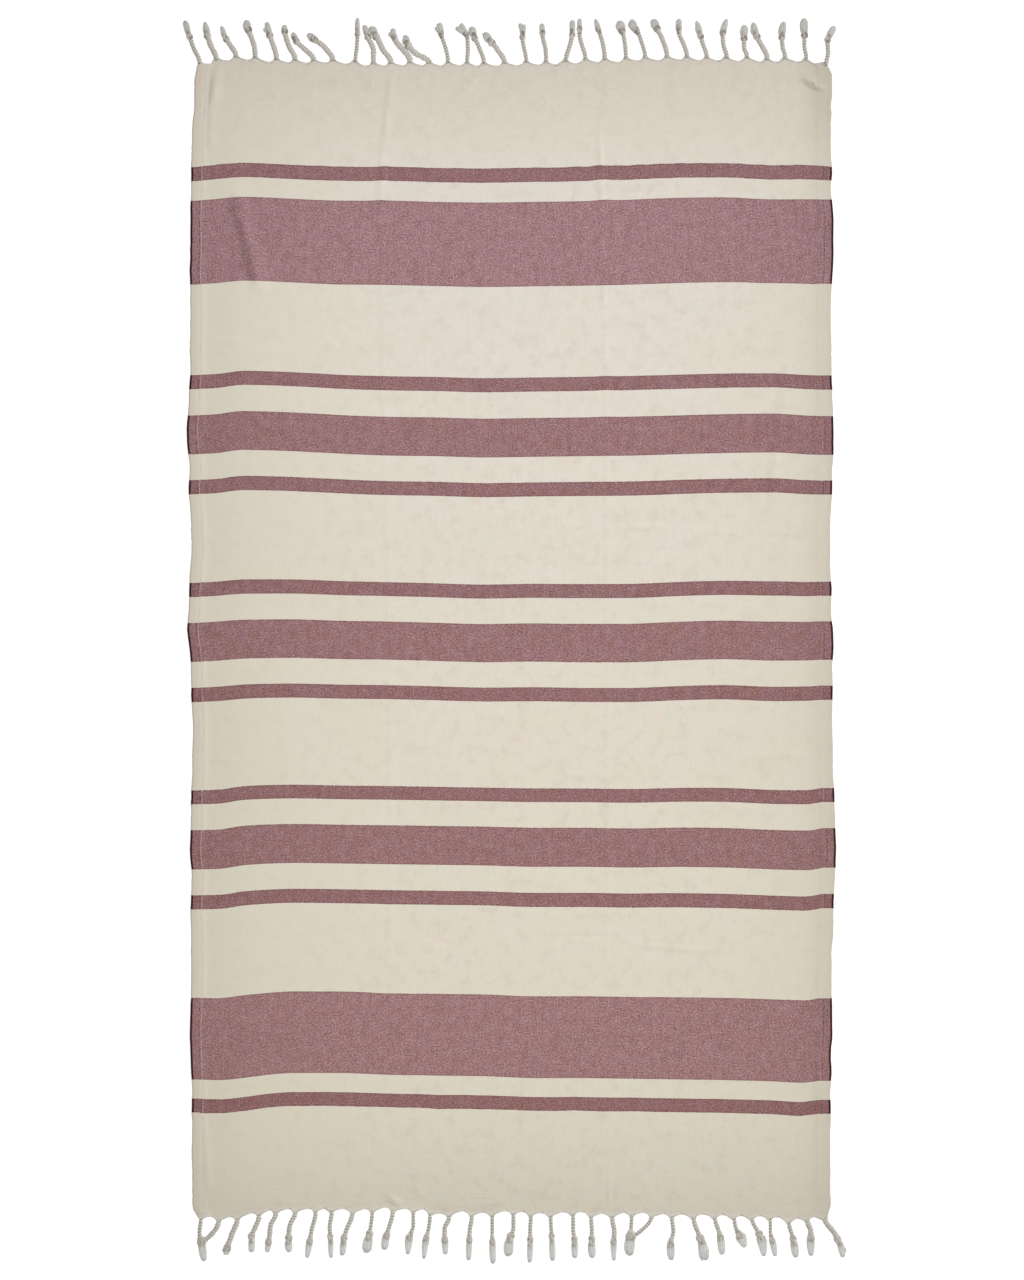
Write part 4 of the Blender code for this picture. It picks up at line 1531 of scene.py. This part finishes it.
    def add_knot(self, cord: Cord, shared: bool) -> None:
        """Tie an overhand knot: the cord crosses itself three times in a long tight lump.

        Args:
            cord: The cord.
            shared: Whether the next cord is tied into it too.
        """
        t = np.linspace(0, FULL_TURN, 40, endpoint=True)
        of_cord, of_tuft, for_two, thick = 0.66, 0.48, 1.3, 0.24
        width = (of_cord * cord.wide + of_tuft * cord.tuft) * (for_two if shared else 1.0)
        strand = thick * width
        crossing_width, crossing_length = 5.4, 5.1
        half_width = (width - 2 * strand) / crossing_width
        half_length = (self.knot_length - 2 * strand) / crossing_length
        wide = (np.sin(t) + 2 * np.sin(2 * t)) * self.rng.choice((-1, 1))
        tall = (np.cos(t) - 2 * np.cos(2 * t) + 0.45) * self.rng.choice((-1, 1))
        middle = self.middle(cord, cord.tied)
        (ahead,), (aside,) = self.heading(cord, np.array([cord.tied]))
        flat = middle + half_width * wide[:, None] * aside + half_length * tall[:, None] * ahead
        rest, tight, core_width, core_height = self.knot_height / 2, 0.9, 0.45, 0.6
        height = rest - np.sin(3 * t) * (rest - strand) * tight
        line = np.column_stack((flat, np.maximum(height, strand)))
        core = np.column_stack((middle + (flat - middle) * core_width,
                                np.full(len(t), rest * core_height)))
        # Painted shade: one side of each knot's loop drawn toward the darker knot colour
        painted_shade = 0.5 + 0.5 * np.sin(t + self.rng.uniform(0, FULL_TURN))
        self.tubes.add(line, np.full(len(t), strand), self.cord_sides, core=core, tied=painted_shade)

    def add_tuft(self, cord: Cord, stray: Stray | None) -> None:
        """Spread the cut yarns past the knot: they swell, then close to a rounded tip.

        Args:
            cord: The cord.
            stray: A lock that leaves the tuft, or nothing.
        """
        common_width, next_angle = 11, 2.4
        count = round(self.tuft_yarns * max(1.0, cord.tuft / common_width))
        straying = 0 if stray is None else round(stray.share * count)
        slant = self.rng.uniform(-0.12, 0.28)
        for number in range(count):
            ring, angle = math.sqrt((number + 0.5) / count), next_angle * number
            place = (ring * math.cos(angle), ring * math.sin(angle), ring)
            line = (self.stray_line(cord, stray, place) if number < straying
                    else self.tuft_line(cord, place, slant))
            steps = np.linspace(0, 1, len(line))
            radii = self.tuft_yarn * np.interp(steps, (0, 0.85, 1.0), (1.0, 1.05, 0.75))
            self.tubes.add(line, radii, self.yarn_sides, cut=np.clip(steps * 2.5, 0, 1))

    def tuft_line(self, cord: Cord, place: tuple[float, float, float], slant: float) -> Array:
        """Line of one cut yarn.

        Args:
            cord: The cord.
            place: The yarn's place in the tuft's section: across, up, and out from its middle.
            slant: How much shorter the tuft is cut on one side than in its middle.

        Returns:
            Rows of across, down and height.
        """
        steps = np.linspace(0, 1, 8)
        stations = (0.0, 0.3, 0.6, 0.85, 1.0)
        blunt = np.interp(steps, stations, (0.75, 0.95, 1.03, 1.02, 0.86))
        pointed = np.interp(steps, stations, (0.95, 1.0, 0.8, 0.56, 0.4))
        swell = blunt * (1 - cord.taper) + pointed * cord.taper
        wide, tall, ring = place
        half = cord.tuft / 2
        upright = abs(self.heading(cord, np.array([cord.reach - half]))[0][0, 1])
        rounding = half * rounded(ring) * upright * swell[-1]
        rounding += half * slant * (1 + wide) * (1 - cord.taper)
        start = cord.tied + 2.0
        length = cord.reach - start - rounding - self.rng.uniform(0, 0.9)
        outs = start + length * steps
        _, aside = self.heading(cord, outs)
        wave = self.rng.uniform(0.1, 0.3) * np.sin(steps * self.rng.uniform(3, 6) + 6 * wide)
        offset = wide * (half - self.tuft_yarn * 0.7) * swell + wave
        flat = self.centreline(cord, outs) + offset[:, None] * aside
        rest = self.tuft_height / 2
        height = rest + tall * (rest - self.tuft_yarn) * swell + np.interp(steps, (0, 0.3), (1, 0))
        return np.column_stack((flat, np.maximum(height, self.tuft_yarn)))

    def stray_line(self, cord: Cord, stray: Stray, place: tuple[float, float, float]) -> Array:
        """Line of one yarn of a lock that leaves the tuft.

        Args:
            cord: The cord.
            stray: The lock.
            place: The yarn's place in the tuft's section, as for tuft_line.

        Returns:
            Rows of across, down and height.
        """
        steps = np.linspace(0, 1, 8)
        wide, tall, ring = place
        lobe, share = self.stray_lobe / 2, math.sqrt(stray.share)
        short = lobe * rounded(ring / share) + self.rng.uniform(0, 0.6)
        start = self.middle(cord, cord.tied + 1.0)
        (ahead,), _ = self.heading(cord, np.array([cord.tied + 4.0]))
        length = (cord.reach - cord.tied) * stray.length
        target = ahead * length + np.array([stray.sideways, 0.0])
        lock = target / np.linalg.norm(target)
        bend = np.sin(steps * math.pi)[:, None] * np.array([-stray.sideways * 0.08, 0.0])
        beside = np.array([-lock[1], lock[0]]) * self.end.out
        swell = lobe * np.interp(steps, (0.0, 0.4, 0.8, 1.0), (0.7, 0.95, 1.0, 0.85))
        flat = (start + steps[:, None] * (target - lock * short) + bend
                + (wide / share * swell)[:, None] * beside)
        height = np.full(len(steps), self.tuft_height / 2 + tall / share * 1.4)
        return np.column_stack((flat, np.maximum(height, self.tuft_yarn)))


@dataclass
class Studio:
    """Pale floor, soft light and the camera straight above."""

    photo: tuple[float, float] = (1024.0, 1280.0)
    mm_per_pixel: float = 1.5576
    corner_pixel: tuple[float, float] = (190.0, 64.0)
    camera_height: float = 14.0
    sensor: float = 36.0
    sky: float = 0.425
    panel_power: float = 2.15
    panel_size: tuple[float, float] = (1.07, 1.79)
    panel_place: tuple[float, float, float] = (0.012, 0.0, 0.18)
    key_power: float = 490.0
    key_place: tuple[float, float, float] = (8.4, 4.2, 6.6)
    key_size: tuple[float, float] = (2.6, 2.6)

    def build(self, plan: TowelPlan) -> None:
        """Build the studio round the towel that a plan lays out."""
        self.floor()
        self.lights()
        self.camera(plan)
        bpy.context.scene.view_settings.view_transform = "Standard"

    def floor(self) -> None:
        """Lay the paper just under the towel."""
        deselect_all()
        bpy.ops.mesh.primitive_plane_add(size=12.0, location=(0, 0, -0.2 * MM))
        paper = bpy.context.object
        paper.name = "floor"
        paper.data.materials.append(FloorFinish().make())
        paper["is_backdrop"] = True

    def lights(self) -> None:
        """Hang a wide soft panel over the towel and a key light on its right, in a pale room."""
        world = bpy.data.worlds.new("room")
        world.use_nodes = True
        background = world.node_tree.nodes["Background"]
        background.inputs["Color"].default_value = (1.0, 1.0, 1.0, 1.0)
        background.inputs["Strength"].default_value = self.sky
        bpy.context.scene.world = world
        self.area_light("panel", self.panel_power, self.panel_size, self.panel_place)
        key = self.area_light("key", self.key_power, self.key_size, self.key_place)
        key.rotation_euler = (-Vector(self.key_place)).to_track_quat("-Z", "Y").to_euler()

    def area_light(self, name: str, power: float, size: tuple[float, float],
                   place: tuple[float, float, float]) -> Object:
        """An area light that the camera doesn't see."""
        data = bpy.data.lights.new(name, "AREA")
        data.shape = "RECTANGLE"
        data.size, data.size_y = size
        data.energy = power
        light = linked(name, data)
        light.visible_camera = False
        light.location = place
        return light

    def camera(self, plan: TowelPlan) -> None:
        """Point the camera straight down at the middle of the photograph.

        Args:
            plan: The towel's plan.
        """
        across, down = ((full / 2 - corner) * self.mm_per_pixel
                        for full, corner in zip(self.photo, self.corner_pixel))
        x, y, _ = plan.world(np.array([[across, down, 0.0]]))[0]
        data = bpy.data.cameras.new("camera")
        data.sensor_width = self.sensor
        data.lens = self.sensor * self.camera_height / (self.photo[1] * self.mm_per_pixel * MM)
        data.clip_end = 100.0
        camera = linked("camera", data)
        camera.location = (x, y, self.camera_height)
        bpy.context.scene.camera = camera


def write_sizes() -> None:
    """Work out the box of the solids and that of the dressed towel."""
    boxes = {"cad": CAD_BOX, "visual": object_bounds()}
    {name: [list(corner) for corner in box] for name, box in boxes.items()}


def report(piece: Object) -> None:
    """Log a piece's size in triangles."""
    piece.data.calc_loop_triangles()
    LOG.info("%s: %d triangles", piece.name, len(piece.data.loop_triangles))


def main() -> None:
    """Build and dress the towel in order, then the studio."""
    logging.basicConfig(level=logging.INFO, format="%(name)s: %(message)s")
    plan = TowelPlan()
    Studio().build(plan)
    cloth_maker = Cloth(plan)
    cloth = cloth_maker.build()
    stitches = HemStitching(cloth_maker).build()
    # The top fringe's finish is darker throughout: darker painted shade in its grooves, and darker
    # knots and tufts
    hard_twist = YarnFinish(name="cotton_yarn_hard_twist", cord="#DAD5CC", groove="#453D33",
                            knot="#9B9287", tuft="#E2E0DB", tuft_shadow="#BEBBB3")
    fringes = (
        Fringe(plan, hard_twist, FringeEnd.TOP, seed=5, knot_length=15.5, twist_pitch=8.8,
               far_share=0.1, fullness=1.07),
        Fringe(plan, YarnFinish(), FringeEnd.BOTTOM, seed=6),
    )
    pieces = [cloth, stitches]
    for fringe in fringes:
        piece = fringe.build()
        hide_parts(fringe.end.node)
        pieces.append(piece)
    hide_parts("towel_cloth")
    for piece in pieces:
        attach(piece, BODY)
        report(piece)
    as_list(pieces[1:])
    write_sizes()


if __name__ == "__main__":
    main()
